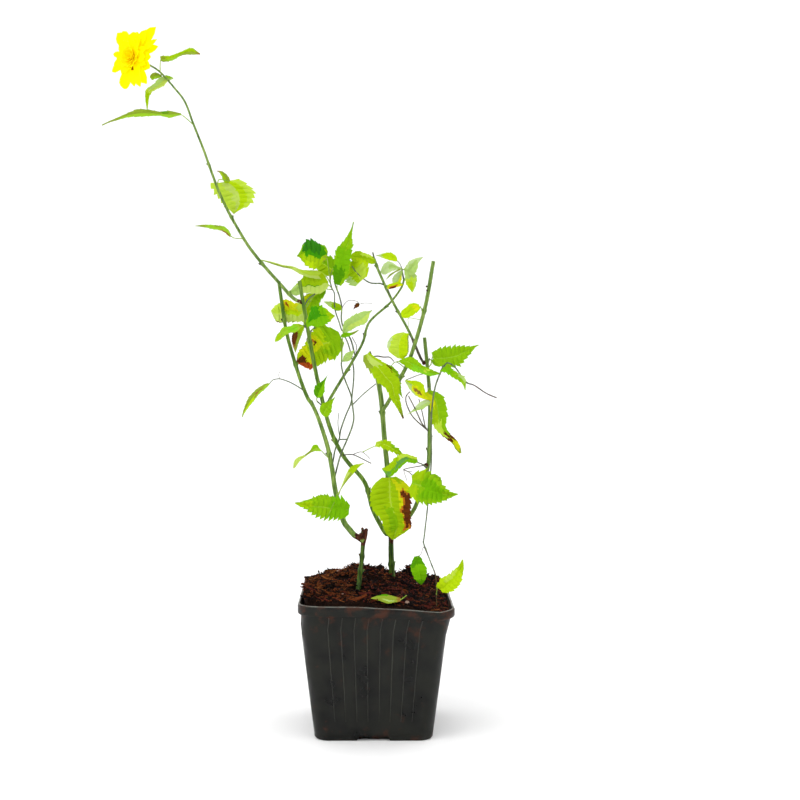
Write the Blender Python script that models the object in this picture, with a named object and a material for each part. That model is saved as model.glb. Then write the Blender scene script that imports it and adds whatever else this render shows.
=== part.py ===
# A young kerria in a square nursery pot: bare canes, thin shoots, sprays of leaves and one double flower.
# Everything is in millimetres until the last step of mesh_object, which scales it to metres.
# +X is to the right and -Y towards the viewer. The origin is the middle of the pot's flat underside.

import math
import random

import bmesh
import bpy
from mathutils import Vector

MM = 0.001
GAP = 0.3                 # clearance between neighbouring pieces
SEED = 7

# Pot: outer sizes of the rim and of the foot
POT_HEIGHT = 82.0
RIM_SIDE = 90.0
FOOT_SIDE = 70.0
RIM_BAND = 6.0            # height of the band under the rim
RIM_STEP = 1.6            # how far the band stands out from the wall
WALL = 1.2
FLOOR = 2.6
CORNER = 9.0
ARCH_WIDTH = 18.0         # flat arch in the middle of each lower edge
ARCH_HEIGHT = 1.8
DRAIN_HOLE = 6.0
DRAIN_AT = 17.0
RIM_EDGE = 0.6            # slant between the rim's outer and top faces

# Soil: a loose mound, highest left of the middle
SOIL_EDGE = 83.5
SOIL_MOUND = 8.0
MOUND_AT = (-12.0, 8.0)
MOUND_REACH = 34.0
SOIL_LUMP = 1.1
EDGE_LUMP = 0.4           # share of the lumps left along the pot's wall
CORNER_PULL = 0.075       # how far the corners of the square grid are drawn in
SOIL_CELLS = 11
STEM_SINK = 3.0           # each stem stands this deep in a recess of the soil
RECESS_LENGTH = 9.0
KNUCKLE_AT = 0.86         # place of a stem's knuckle along it

# Leaf: toothed outline as (place along the blade, half width), each as a share
OUTLINE = ((0.00, 0.16), (0.10, 0.78), (0.30, 1.00), (0.38, 0.76), (0.56, 0.78), (0.64, 0.50), (1.00, 0.04))
LEAF_THICK = 0.5
LEAF_ARCH = 0.08          # rise of the midrib over its chord, as a share of the length
LEAF_FOLD = 0.28          # rise of the edges over the midrib, as a share of the half width
PETIOLE_RADIUS = 0.45
PETIOLE_SIDES = 4
PETIOLE_STEP = 4.0
SUNK = 0.14               # how far the petiole runs into the blade, as a share of its length

# Flower: whorls as (petals, length, angle from the flower's axis in degrees)
WHORLS = ((9, 17.5, 84.0), (8, 15.5, 60.0), (6, 11.0, 32.0))
PETAL_WIDTH = 6.0
PETAL_THICK = 0.5
PETAL_OUTLINE = ((0.10, 0.45), (0.62, 1.0), (1.0, 0.42))
HEART_RADIUS = 3.2

# Canes and twigs: spacing of their rings, and how many sides each thickness gets
CANE_STEP = 10.0
KNUCKLE_STEP = 3.0
TWIG_STEP = 7.0
CANE_SIDES = 8
THIN_SIDES = 6
TWIG_SIDES = 5
THIN_BELOW = 0.7

CANE_GREEN = (0.11, 0.26, 0.05)
LEAF_GREEN = (0.26, 0.56, 0.02)
TWIG_GREY = (0.19, 0.23, 0.10)
PETAL_YELLOW = (0.95, 0.80, 0.0)
POT_BLACK = (0.026, 0.027, 0.023)
SOIL_BROWN = (0.06, 0.025, 0.012)


def clear_scene():
    for thing in list(bpy.data.objects):
        bpy.data.objects.remove(thing)


def material(name, colour, roughness):
    made = bpy.data.materials.get(name)
    if made:
        return made
    made = bpy.data.materials.new(name)
    made.use_nodes = True
    shader = made.node_tree.nodes["Principled BSDF"]
    shader.inputs["Base Color"].default_value = (*colour, 1.0)
    shader.inputs["Roughness"].default_value = roughness
    shader.inputs["Metallic"].default_value = 0.0
    return made


def mesh_object(name, mesh_tools, finish):
    """One object from a bmesh in millimetres, scaled to metres."""
    bmesh.ops.scale(mesh_tools, vec=(MM, MM, MM), verts=mesh_tools.verts)
    mesh = bpy.data.meshes.new(name)
    mesh_tools.to_mesh(mesh)
    mesh_tools.free()
    thing = bpy.data.objects.new(name, mesh)
    thing.data.materials.append(finish)
    bpy.context.scene.collection.objects.link(thing)
    return thing


def skin(mesh_tools, rings):
    """Joins rings of points, each with as many points, into a closed tube with flat ends."""
    loops = [[mesh_tools.verts.new(point) for point in ring] for ring in rings]
    count = len(loops[0])
    for low, high in zip(loops, loops[1:]):
        for i in range(count):
            j = (i + 1) % count
            mesh_tools.faces.new((low[i], low[j], high[j], high[i]))
    mesh_tools.faces.new(list(reversed(loops[0])))
    mesh_tools.faces.new(loops[-1])


def smooth_line(points, step):
    """Points about one step apart on a smooth curve through the given ones."""
    points = [Vector(p) for p in points]
    ends = [2 * points[0] - points[1], *points, 2 * points[-1] - points[-2]]
    line = [points[0]]
    for a, b, c, d in zip(ends, ends[1:], ends[2:], ends[3:]):
        count = max(1, round((c - b).length / step))
        for i in range(1, count + 1):
            t = i / count
            line.append(0.5 * (2 * b + (c - a) * t + (2 * a - 5 * b + 4 * c - d) * t * t
                               + (3 * b - a - 3 * c + d) * t ** 3))
    return line


def radius_at(radii, share):
    """Radius at a share of the length: an even taper, with a swelling near the tip of a knuckled stem."""
    first, last, swell = radii
    return (first + (last - first) * share) * (1 + swell * math.exp(-(((share - KNUCKLE_AT) / 0.09) ** 2)))


def tube_rings(line, radii, sides):
    """Rings round a line, with no twist between them."""
    rings = []
    side = None
    for i, point in enumerate(line):
        ahead = (line[min(i + 1, len(line) - 1)] - line[max(i - 1, 0)]).normalized()
        if side is None:
            side = ahead.orthogonal()
        side = (side - ahead * side.dot(ahead)).normalized()
        other = ahead.cross(side)
        radius = radius_at(radii, i / (len(line) - 1))
        rings.append([point + radius * (math.cos(a) * side + math.sin(a) * other)
                      for a in (2 * math.pi * k / sides for k in range(sides))])
    return rings


def tube(name, line, radii, sides, finish):
    tools = bmesh.new()
    skin(tools, tube_rings(line, radii, sides))
    return mesh_object(name, tools, finish)


def is_closed(mesh):
    tools = bmesh.new()
    tools.from_mesh(mesh)
    closed = all(edge.is_manifold for edge in tools.edges)
    tools.free()
    return closed


def fuse(whole, parts):
    """One union joins the parts to the first object, and the parts are then removed."""
    group = bpy.data.collections.new(whole.name + "_parts")
    bpy.context.scene.collection.children.link(group)
    for part in parts:
        bpy.context.scene.collection.objects.unlink(part)
        group.objects.link(part)
    union = whole.modifiers.new("Union", "BOOLEAN")
    union.operation = "UNION"
    union.operand_type = "COLLECTION"
    union.collection = group
    for solver in ("EXACT", "MANIFOLD"):
        union.solver = solver
        bpy.context.view_layer.update()
        graph = bpy.context.evaluated_depsgraph_get()
        joined = bpy.data.meshes.new_from_object(whole.evaluated_get(graph))
        if is_closed(joined):
            break
    whole.modifiers.clear()
    whole.data = joined
    for part in parts:
        bpy.data.objects.remove(part)
    bpy.data.collections.remove(group)


def cut(whole, cutters):
    for cutter in cutters:
        cutter.hide_render = True
        cutter.display_type = "WIRE"
        difference = whole.modifiers.new("Cut", "BOOLEAN")
        difference.operation = "DIFFERENCE"
        difference.object = cutter
        difference.solver = "EXACT"


def pointing(heading, lean):
    """Unit vector: heading in degrees in the plane seen from the front, lean towards the viewer."""
    h, v = math.radians(heading), math.radians(lean)
    return Vector((math.cos(h) * math.cos(v), -math.sin(v), math.sin(h) * math.cos(v)))


def face_of(along, turn):
    """Unit vector out of a blade's upper side. Turn 0 faces the viewer, and a positive one tilts it up."""
    front = Vector((0.0, -1.0, 0.0))
    front = (front - along * front.dot(along)).normalized()
    up = along.cross(front)
    if up.z < -0.05 or (abs(up.z) <= 0.05 and up.x < 0):
        up = -up
    angle = math.radians(turn)
    return (front * math.cos(angle) + up * math.sin(angle)).normalized()


def blade(name, base, along, face, length, width, finish):
    """A leaf's blade: folded at its midrib, arched, toothed, and as thick all over."""
    across = face.cross(along)
    thick = max(LEAF_THICK, length / 80)
    tools = bmesh.new()
    rows = []
    for place, share in OUTLINE:
        middle = base + along * length * place + face * LEAF_ARCH * length * 4 * place * (1 - place)
        half = max(share * width / 2, 0.4)
        rise = face * LEAF_FOLD * half
        top = [middle + across * half + rise, middle, middle - across * half + rise]
        rows.append(top + [point - face * thick for point in reversed(top)])
    skin(tools, rows)
    bmesh.ops.recalc_face_normals(tools, faces=tools.faces)
    return mesh_object(name, tools, finish)


def leaf_parts(name, start, petiole, plate, finish):
    """A petiole from the stem's axis to the blade, and the blade."""
    heading, lean, reach = petiole
    base = start + pointing(heading, lean) * reach
    heading, lean, length, width, turn = plate
    along = pointing(heading, lean)
    face = face_of(along, turn)
    inner = base + along * length * SUNK + face * LEAF_ARCH * length * 4 * SUNK * (1 - SUNK)
    inner -= face * max(LEAF_THICK, length / 80) / 2
    middle = start.lerp(base, 0.6) + face * reach * 0.06
    stalk = smooth_line((start, middle, base - face * LEAF_THICK / 2, inner), PETIOLE_STEP)
    radii = (PETIOLE_RADIUS, PETIOLE_RADIUS * 0.85, 0.0)
    return [tube(name + "_petiole", stalk, radii, PETIOLE_SIDES, finish),
            blade(name + "_blade", base, along, face, length, width, finish)]


def petal(name, heart, axis, side, length, tilt, finish):
    """A narrow petal, widest past its middle, that bends outwards."""
    out = axis * math.cos(tilt) + side * math.sin(tilt)
    face = side * -math.cos(tilt) + axis * math.sin(tilt)
    across = face.cross(out)
    rows = []
    for place, share in PETAL_OUTLINE:
        middle = heart + out * length * place - face * length * 0.10 * place * place
        half = share * PETAL_WIDTH / 2 * (0.6 + 0.4 * length / WHORLS[0][1])
        top = [middle + across * half, middle - face * half * 0.25, middle - across * half]
        rows.append(top + [point - face * PETAL_THICK for point in reversed(top)])
    tools = bmesh.new()
    skin(tools, rows)
    bmesh.ops.recalc_face_normals(tools, faces=tools.faces)
    return mesh_object(name, tools, finish)


def flower_parts(heart, axis, finish):
    """The double flower: whorls of petals round a small heart, dealt out by a seeded rule."""
    dealt = random.Random(SEED)
    side = axis.orthogonal().normalized()
    other = axis.cross(side)
    tools = bmesh.new()
    bmesh.ops.create_icosphere(tools, subdivisions=1, radius=HEART_RADIUS)
    bmesh.ops.translate(tools, vec=heart, verts=tools.verts)
    parts = [mesh_object("flower_heart", tools, finish)]
    for row, (petals, length, opening) in enumerate(WHORLS):
        for k in range(petals):
            angle = 2 * math.pi * (k + 0.5 * (row % 2)) / petals + dealt.uniform(-0.12, 0.12)
            toward = side * math.cos(angle) + other * math.sin(angle)
            tilt = math.radians(opening + dealt.uniform(-6, 6))
            parts.append(petal(f"petal_{row}_{k}", heart, axis, toward,
                               length * dealt.uniform(0.9, 1.0), tilt, finish))
    return parts


def rounded_square(half, corner, z, per_corner=3):
    ring = []
    for turn, (sx, sy) in enumerate(((1, 1), (-1, 1), (-1, -1), (1, -1))):
        for k in range(per_corner + 1):
            angle = math.pi / 2 * (turn + k / per_corner)
            ring.append(Vector((sx * (half - corner) + corner * math.cos(angle),
                                sy * (half - corner) + corner * math.sin(angle), z)))
    return ring


def wall_half(z):
    """Half the pot's outer side under the rim band at a height."""
    share = z / POT_HEIGHT
    return (FOOT_SIDE + (RIM_SIDE - 2 * RIM_STEP - FOOT_SIDE) * share) / 2


def pot():
    band = POT_HEIGHT - RIM_BAND
    outer = [(wall_half(0) - 0.8, 0.0), (wall_half(1.0), 1.0), (wall_half(band), band),
             (RIM_SIDE / 2 - 0.3, band + 0.4), (RIM_SIDE / 2, POT_HEIGHT - 1.0),
             (RIM_SIDE / 2 - RIM_EDGE, POT_HEIGHT)]
    inner = [(RIM_SIDE / 2 - WALL - 0.4, POT_HEIGHT), (RIM_SIDE / 2 - WALL - RIM_EDGE, POT_HEIGHT - 1.0),
             (wall_half(band) - WALL, band - 1.0), (wall_half(FLOOR) - WALL, FLOOR)]
    tools = bmesh.new()
    skin(tools, [rounded_square(half, CORNER if half > 34.5 else CORNER - WALL, z)
                 for half, z in outer + inner])
    made = mesh_object("pot", tools, material("polypropylene", POT_BLACK, 0.35))
    drop = (ARCH_WIDTH ** 2 / 4 - ARCH_HEIGHT ** 2) / (2 * ARCH_HEIGHT)
    cutters = []
    for k in range(4):
        angle = math.pi / 2 * k
        out = Vector((math.cos(angle), math.sin(angle), 0.0)) * FOOT_SIDE / 2
        line = [out * 0.9 - Vector((0, 0, drop)), out * 1.1 - Vector((0, 0, drop))]
        cutters.append(tube(f"arch_cutter_{k}", line, (drop + ARCH_HEIGHT, drop + ARCH_HEIGHT, 0.0), 48,
                            made.data.materials[0]))
        at = Vector((math.cos(angle + math.pi / 4), math.sin(angle + math.pi / 4), 0.0)) * DRAIN_AT * 1.41
        line = [at - Vector((0, 0, 3)), at + Vector((0, 0, FLOOR + 3))]
        cutters.append(tube(f"drain_cutter_{k}", line, (DRAIN_HOLE / 2, DRAIN_HOLE / 2, 0.0), 12,
                            made.data.materials[0]))
    cut(made, cutters)


def soil_height(x, y):
    """The mound's top: a smooth hump that sinks towards the right."""
    away = math.hypot(x - MOUND_AT[0], y - MOUND_AT[1]) / MOUND_REACH
    return SOIL_EDGE + SOIL_MOUND * math.exp(-away * away) + 1.5 * max(0.0, -x) / 43


def soil(stems):
    """Compost that fills the pot, with a lumpy top and a recess for each stem."""
    dealt = random.Random(SEED)
    top_half = RIM_SIDE / 2 - WALL - RIM_EDGE - 2 * GAP
    low_half = wall_half(FLOOR) - WALL - GAP
    neck = POT_HEIGHT - RIM_BAND - 1.4
    neck_half = wall_half(neck) - WALL - GAP - 0.1
    tools = bmesh.new()
    bmesh.ops.create_grid(tools, x_segments=SOIL_CELLS, y_segments=SOIL_CELLS, size=1.0)
    for vert in tools.verts:
        u, v = vert.co.x, vert.co.y
        edge = max(abs(u), abs(v)) > 0.999
        pull = 1.0 - CORNER_PULL * (u * v) ** 4
        x, y = u * pull * top_half, v * pull * top_half
        lump = dealt.uniform(-SOIL_LUMP, SOIL_LUMP) * (EDGE_LUMP if edge else 1.0)
        vert.co = (x, y, soil_height(x, y) + lump)
    walls = [edge for edge in tools.edges if edge.is_boundary]
    for height, half in ((POT_HEIGHT - 1.2, top_half), (neck, neck_half), (FLOOR + GAP, low_half)):
        made = bmesh.ops.extrude_edge_only(tools, edges=walls)
        verts = [g for g in made["geom"] if isinstance(g, bmesh.types.BMVert)]
        walls = [g for g in made["geom"] if isinstance(g, bmesh.types.BMEdge)]
        scale = half / max(max(abs(v.co.x), abs(v.co.y)) for v in verts)
        for vert in verts:
            vert.co = (vert.co.x * scale, vert.co.y * scale, height)
    bmesh.ops.holes_fill(tools, edges=[e for e in tools.edges if e.is_boundary])
    bmesh.ops.recalc_face_normals(tools, faces=tools.faces)
    made = mesh_object("soil", tools, material("compost", SOIL_BROWN, 0.95))
    cutters = []
    for k, (foot, ahead, radius) in enumerate(stems):
        line = [foot - ahead * GAP, foot + ahead * RECESS_LENGTH]
        cutters.append(tube(f"stem_recess_{k}", line, (radius + GAP, radius + 2 * GAP, 0.0), 10,
                            made.data.materials[0]))
    cut(made, cutters)


def on_soil(x, y):
    return Vector((x, y, soil_height(x, y) - STEM_SINK))


# Limbs: name, what carries it, radii at foot and tip with the knuckle's swelling, and the way it goes.
# A limb that starts on another one begins a gap away from that one's surface.
LIMBS = (
    ("stem_left_foot", None, (2.5, 2.2, 0.5),
     (on_soil(-12, -14), (-11, -14, 93), (-10, -14, 104), (-9, -13, 117), (-7, -13, 121))),
    ("stem_mid_foot", None, (2.7, 2.4, 0.3), (on_soil(9, 13), (8, 12, 102), (8, 11, 117))),
    ("cane_left", "stem_left_foot", (1.9, 1.15, 0.0),
     ((-15, -13, 121), (-21, -12, 129), (-25, -9, 145), (-27, -7, 158), (-30, -4, 172), (-35, -1, 187),
      (-39, 1, 196))),
    ("cane_left_side", "cane_left", (1.2, 1.05, 0.0),
     ((-42, 3, 200), (-46, 4, 210), (-51, 5, 226), (-55, 6, 242), (-59, 9, 269))),
    ("cane_mid", "stem_mid_foot", (1.4, 1.1, 0.0),
     ((4, 10, 117), (-3, 8, 131), (-8, 7, 148), (-20, 6, 163), (-28, 3, 180), (-34, 0, 203),
      (-39, -2, 228), (-46, -4, 270))),
    ("flower_shoot", "cane_mid", (1.1, 0.65, 0.0),
     ((-50, -3, 260), (-59, -4, 270), (-70, -6, 283), (-79, -7, 296), (-91, -9, 319), (-101, -11, 347),
      (-104, -12, 355))),
    ("curved_side_cane", "cane_mid", (1.0, 0.6, 0.0),
     ((-29, 5, 198), (-23, 9, 208), (-15, 12, 221), (-9, 14, 232), (-5, 17, 244), (7, 21, 255),
      (14, 24, 264), (16, 25, 270))),
    ("cane_back", "stem_mid_foot", (1.6, 1.5, 0.0),
     ((8, 12, 123), (6, 18, 151), (4, 20, 172), (2, 22, 196), (-1, 23, 214))),
    ("cane_back_side", "cane_back", (1.2, 1.15, 0.0),
     ((7, 15, 197), (13, 6, 210), (20, -5, 226), (28, -10, 254), (33, -13, 282))),
    ("cane_right", "stem_mid_foot", (1.3, 1.1, 0.0),
     ((12, 9, 117), (19, 6, 127), (24, 3, 137), (30, 0, 158), (31, 2, 180), (31, 2, 203), (28, 1, 236))),
    ("cane_right_side", "cane_right", (0.8, 0.8, 0.0),
     ((26, 3, 223), (19, 4, 239), (9, 9, 257), (1, 14, 274), (-2, 17, 282))),
    ("thin_shoot", None, (0.6, 0.5, 0.0),
     (on_soil(35, -30), (33, -27, 99), (28, -22, 115), (30, -14, 139), (32, -10, 164), (32, -9, 189),
      (34, -11, 207), (39, -14, 221))),
    ("thin_shoot_tip", "thin_shoot", (0.45, 0.35, 0.0),
     ((43, -15, 220), (52, -17, 211), (64, -20, 205), (70, -21, 203))),
)

# Sprays: name, the limb that carries it, the stem's radii and way, and its leaves. Each leaf is
# (place along the stem, petiole (heading, lean, length), blade (heading, lean, length, width, turn)).
SPRAYS = (
    ("flower_spray", "flower_shoot", (0.65, 0.5),
     ((-107, -13, 363), (-111, -14, 374), (-117, -14, 382), (-125, -15, 391), (-131, -16, 395),
      (-137, -15, 398)),
     ((0.76, (94, 0, 6), (9, 10, 25, 10, 55)), (0.73, (-87, -61, 4), (-116, 20, 22, 13, 160)),
      (0.14, (165, 0, 7), (-175, 5, 46, 14, 55)))),
    ("shoot_leaf_high", "flower_shoot", (0.5, 0.45), ((-85, -4, 310),),
     ((0.8, (66, -71, 4), (107, -45, 34, 26, 165)),)),
    ("shoot_leaf_low", "flower_shoot", (0.5, 0.45), ((-83, -10, 297),),
     ((0.9, (168, 20, 3), (166, 5, 21, 8, 60)),)),
    ("crown_left_spray", "curved_side_cane", (0.5, 0.45),
     ((-16, 15, 226), (-20, 17, 236), (-25, 19, 249), (-26, 18, 265), (-28, 17, 272)),
     ((0.98, (116, 29, 10), (153, 20, 20, 18, 25)), (0.95, (-4, 56, 10), (78, 5, 36, 13, 20)),
      (0.97, (158, 44, 4), (170, 5, 39, 15, 50)), (0.87, (169, 49, 5), (-169, 0, 21, 12, 40)),
      (0.49, (78, 34, 6), (145, 20, 12, 6, 20)), (0.9, (100, -40, 7), (150, -20, 17, 13, 15)))),
    ("mid_top_spray", "cane_mid", (0.5, 0.45), ((-41, 0, 259),),
     ((0.95, (38, -70, 2), (-83, -20, 16, 13, 20)), (0.5, (-164, -74, 13), (-140, -25, 21, 18, 150)),
      (0.85, (-91, 40, 14), (2, 20, 17, 12, 10)))),
    ("mid_upper_spray", "cane_mid", (0.5, 0.45), ((-43, -6, 242),),
     ((0.85, (142, 44, 3), (-148, 5, 18, 7, 40)), (0.95, (-135, -21, 3), (-103, -20, 15, 8, 30)))),
    ("thin_left_spray", "cane_left", (0.55, 0.45),
     ((-25, -5, 160), (-22, -2, 166), (-17, 2, 180), (-14, 3, 188), (-16, 4, 200), (-19, 4, 211),
      (-21, 5, 222), (-21, 6, 234)),
     ((0.99, (180, -39, 3), (-151, -8, 29, 22, 10)), (0.98, (77, -39, 3), (44, 5, 23, 12, 150)),
      (0.95, (46, -50, 3), (30, 20, 13, 7, 60)), (0.82, (43, 44, 3), (56, 10, 9, 6, 40)))),
    ("thin_back_shoot", "cane_mid", (0.5, 0.4),
     ((-24, 9, 175), (-23, 11, 179), (-20, 15, 186), (-17, 17, 194), (-16, 17, 206), (-15, 17, 215)), ()),
    ("mid_lower_spray", "cane_mid", (0.5, 0.45), ((-35, -7, 201),),
     ((0.95, (126, 66, 2), (65, 10, 15, 7, 20)), (0.64, (-76, 4, 10), (56, 25, 13, 8, 20)))),
    ("dry_twiglet", "cane_mid", (0.5, 0.4), ((-15, 0, 166), (-9, -2, 168), (-5, -4, 164)),
     ((0.7, (20, -41, 9), (-10, 5, 17, 10, 30)),)),
    ("side_left_leaf", "cane_left_side", (0.5, 0.4), ((-51, -3, 209), (-58, -6, 212), (-63, -8, 212)),
     ((0.98, (-127, 0, 3), (-129, 15, 26, 7, 40)),)),
    ("left_mid_leaf", "cane_left", (0.45, 0.4), ((-32, -10, 168),),
     ((0.95, (132, 21, 3), (-148, 25, 20, 7, 40)),)),
    ("left_low_spray", "cane_left", (0.5, 0.45), ((-20, -17, 135),),
     ((0.95, (11, 47, 3), (172, 10, 31, 14, 15)), (0.5, (99, 9, 11), (51, 15, 25, 7, 60)))),
    ("curved_tip_spray", "curved_side_cane", (0.55, 0.45), ((15, 25, 275), (12, 24, 280)),
     ((0.98, (152, 36, 2), (165, 10, 11, 6, 40)), (0.45, (-153, 70, 3), (-151, 5, 12, 10, 150)),
      (0.30, (-22, 18, 3), (51, 10, 13, 14, 150)))),
    ("right_side_tip_spray", "cane_right_side", (0.6, 0.5), ((-3, 17, 286),),
     ((0.95, (-117, 58, 2), (-177, 5, 13, 11, 45)), (0.85, (-127, 20, 12), (-131, -5, 12, 11, 20)))),
    ("right_side_high_leaf", "cane_right_side", (0.5, 0.45), ((6, 7, 266),),
     ((0.95, (5, 59, 2), (14, 10, 7, 6, 40)),)),
    ("right_side_mid_leaf", "cane_right_side", (0.5, 0.45), ((18, 0, 239),),
     ((0.95, (-160, 58, 2), (-113, 10, 16, 12, 10)),)),
    ("back_side_high_leaf", "cane_back_side", (0.5, 0.45), ((25, -12, 253),),
     ((0.95, (108, 27, 2), (-149, 0, 12, 8, 20)),)),
    ("back_side_low_leaf", "cane_back_side", (0.5, 0.45), ((15, -3, 219),),
     ((0.95, (107, 44, 6), (-20, 3, 25, 10, 25)),)),
    ("back_top_leaf", "cane_back", (0.7, 0.5), ((-2, 14, 219), (-3, 6, 223)),
     ((0.97, (117, 58, 5), (-63, 5, 41, 18, 15)),)),
    ("back_low_leaf", "cane_back", (0.6, 0.5), ((6, 10, 153),),
     ((0.95, (-111, 68, 9), (-83, 15, 38, 23, 10)),)),
    ("right_top_leaf", "cane_right", (0.5, 0.45), ((32, -3, 223),),
     ((0.95, (38, 42, 3), (16, 0, 26, 15, 15)),)),
    ("right_upper_spray", "cane_right", (0.5, 0.45), ((28, -3, 204),),
     ((0.97, (176, 29, 2), (151, 20, 12, 9, 30)), (0.5, (21, 56, 3), (-66, -5, 27, 14, 15)))),
    ("right_twiglets", "cane_right", (0.5, 0.4), ((21, -4, 190), (18, -6, 197), (17, -7, 203)), ()),
    ("right_low_spray", "cane_right", (0.5, 0.45), ((25, -5, 159), (21, -9, 157)),
     ((0.35, (120, 14, 5), (-155, -10, 20, 10, 45)), (0.95, (-84, 35, 5), (-19, 8, 28, 18, 10)))),
    ("thin_shoot_leaf", "thin_shoot", (0.4, 0.35), ((40, -18, 219),),
     ((0.9, (-43, 55, 2), (-48, 10, 16, 7, 40)),)),
    ("thin_shoot_low_leaf", "thin_shoot", (0.4, 0.35), ((26, -27, 111),),
     ((0.95, (-123, 0, 2), (-88, -5, 16, 9, 15)),)),
    ("sprout_leaf", "thin_shoot", (0.4, 0.35), ((37, -33, 92),),
     ((0.95, (51, 20, 2), (51, 10, 22, 11, 15)),)),
    # these grow towards the back, so the plant is leafy from that side too
    ("low_rear_leaf", "cane_back", (0.5, 0.45), ((7, 25, 150),),
     ((0.9, (-70, -40, 4), (-95, -25, 27, 17, 10)),)),
    ("top_rear_leaf", "cane_back", (0.5, 0.45), ((0, 29, 211),),
     ((0.9, (50, -20, 7), (-68, -15, 27, 14, 15)),)),
    ("mid_rear_leaf", "cane_mid", (0.5, 0.45), ((-40, 5, 239), (-38, 12, 241)),
     ((0.95, (60, -40, 4), (-75, -15, 18, 12, 10)),)),
    ("right_rear_leaf", "cane_right", (0.5, 0.45), ((29, 9, 153),),
     ((0.9, (-40, -40, 4), (-25, -20, 19, 12, 10)),)),
    ("left_rear_leaf", "cane_left", (0.5, 0.45), ((-22, -3, 135),),
     ((0.9, (170, -20, 3), (177, -15, 22, 10, 15)),)),
    ("right_top_rear_leaf", "cane_right", (0.5, 0.45), ((31, 5, 226),),
     ((0.9, (40, -40, 4), (8, -25, 20, 11, 20)),)),
)
FLOWER_AT = (-139, -16, 399)
FLOWER_FACES = (-0.55, -0.80, 0.12)
FALLEN_LEAF = ((14, -34), (180, 0, 20, 8, 68))
FALLEN_LEAF_RISE = 1.0    # it rests on the lumps under it, this far above the mound's mean height


def rooted(first, carrier):
    """Where a stem starts, a gap off its carrier, and the first point on its way out."""
    line, radii = carrier
    first = Vector(first)
    nearest = min(range(len(line)), key=lambda i: (line[i] - first).length)
    axis = line[nearest]
    share = nearest / (len(line) - 1)
    radius = radius_at(radii, share)
    if nearest == len(line) - 1:
        ahead = (line[-1] - line[-2]).normalized()
        if (first - axis).normalized().dot(ahead) > 0.5:
            return [axis + ahead * GAP, axis + ahead * (GAP + 1.2)]
    along = (line[min(nearest + 1, len(line) - 1)] - line[max(nearest - 1, 0)]).normalized()
    out = first - axis
    out = (out - along * out.dot(along)).normalized()
    return [axis + out * (radius + GAP), axis + out * (radius + GAP + 1.0)]


def limbs():
    """All canes, and for each one its line and radii, for what grows on it."""
    bark = material("cane_bark", CANE_GREEN, 0.5)
    carried = {}
    feet = []
    for name, carrier, radii, way in LIMBS:
        way = [Vector(p) for p in way]
        if carrier:
            way = rooted(way[0], carried[carrier]) + way
        else:
            feet.append((way[0], (way[1] - way[0]).normalized(), radii[0]))
        line = smooth_line(way, KNUCKLE_STEP if radii[2] else CANE_STEP)
        tube(name, line, radii, CANE_SIDES if radii[0] > THIN_BELOW else THIN_SIDES, bark)
        carried[name] = (smooth_line(way, 1.0), radii)
    return carried, feet


def sprays(carried):
    green = material("leaf", LEAF_GREEN, 0.45)
    yellow = material("petal", PETAL_YELLOW, 0.5)
    twig = material("twig", TWIG_GREY, 0.6)
    for name, carrier, (first, last), way, leaves in SPRAYS:
        way = rooted(way[0], carried[carrier]) + [Vector(p) for p in way]
        stem = tube(name, smooth_line(way, TWIG_STEP), (first, last, 0.0), TWIG_SIDES,
                    green if leaves else twig)
        line = smooth_line(way, 1.0)
        parts = []
        for k, (place, petiole, plate) in enumerate(leaves):
            start = line[round(place * (len(line) - 1))]
            parts += leaf_parts(f"{name}_{k}", start, petiole, plate, green)
        if name == "flower_spray":
            parts += flower_parts(Vector(FLOWER_AT), Vector(FLOWER_FACES).normalized(), yellow)
        if parts:
            fuse(stem, parts)


def fallen_leaf():
    """A pale leaf that has dropped on the soil."""
    (x, y), (heading, lean, length, width, turn) = FALLEN_LEAF
    along = pointing(heading, lean)
    highest = max(soil_height(x + along.x * reach, y + width / 2) for reach in (0.0, length / 2, length))
    base = Vector((x, y, highest + FALLEN_LEAF_RISE))
    blade("fallen_leaf", base, along, face_of(along, turn), length, width,
          material("leaf", LEAF_GREEN, 0.45))


clear_scene()
pot()
carried, feet = limbs()
soil(feet)
sprays(carried)
fallen_leaf()
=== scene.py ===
# A young kerria in a black square nursery pot: finer canes, twigs, leaves and a double flower on the packed
# model. Lengths are in millimetres until a mesh is made. +X is to the right, -Y towards the viewer, and the
# origin is the middle of the pot's flat underside.
import math
import random

import bpy
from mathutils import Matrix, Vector, noise


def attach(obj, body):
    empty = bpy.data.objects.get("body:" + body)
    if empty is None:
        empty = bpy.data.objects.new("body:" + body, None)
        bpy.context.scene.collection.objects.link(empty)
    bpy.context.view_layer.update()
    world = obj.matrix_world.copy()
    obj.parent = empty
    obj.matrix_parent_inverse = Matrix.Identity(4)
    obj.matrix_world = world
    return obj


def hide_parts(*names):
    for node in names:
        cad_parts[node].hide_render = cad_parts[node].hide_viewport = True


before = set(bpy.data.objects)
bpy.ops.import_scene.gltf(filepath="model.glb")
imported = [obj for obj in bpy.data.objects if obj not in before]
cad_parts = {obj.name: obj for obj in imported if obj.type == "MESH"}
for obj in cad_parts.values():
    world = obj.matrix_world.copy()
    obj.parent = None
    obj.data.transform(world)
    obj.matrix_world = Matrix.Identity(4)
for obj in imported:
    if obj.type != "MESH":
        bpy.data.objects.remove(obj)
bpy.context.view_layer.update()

mm = 0.001


# Materials

def linear(code):  # an sRGB hex colour as the linear one that a socket takes
    parts = [int(code[i:i + 2], 16) / 255 for i in (1, 3, 5)]
    return [p / 12.92 if p <= 0.04045 else ((p + 0.055) / 1.055) ** 2.4 for p in parts] + [1.0]


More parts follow.
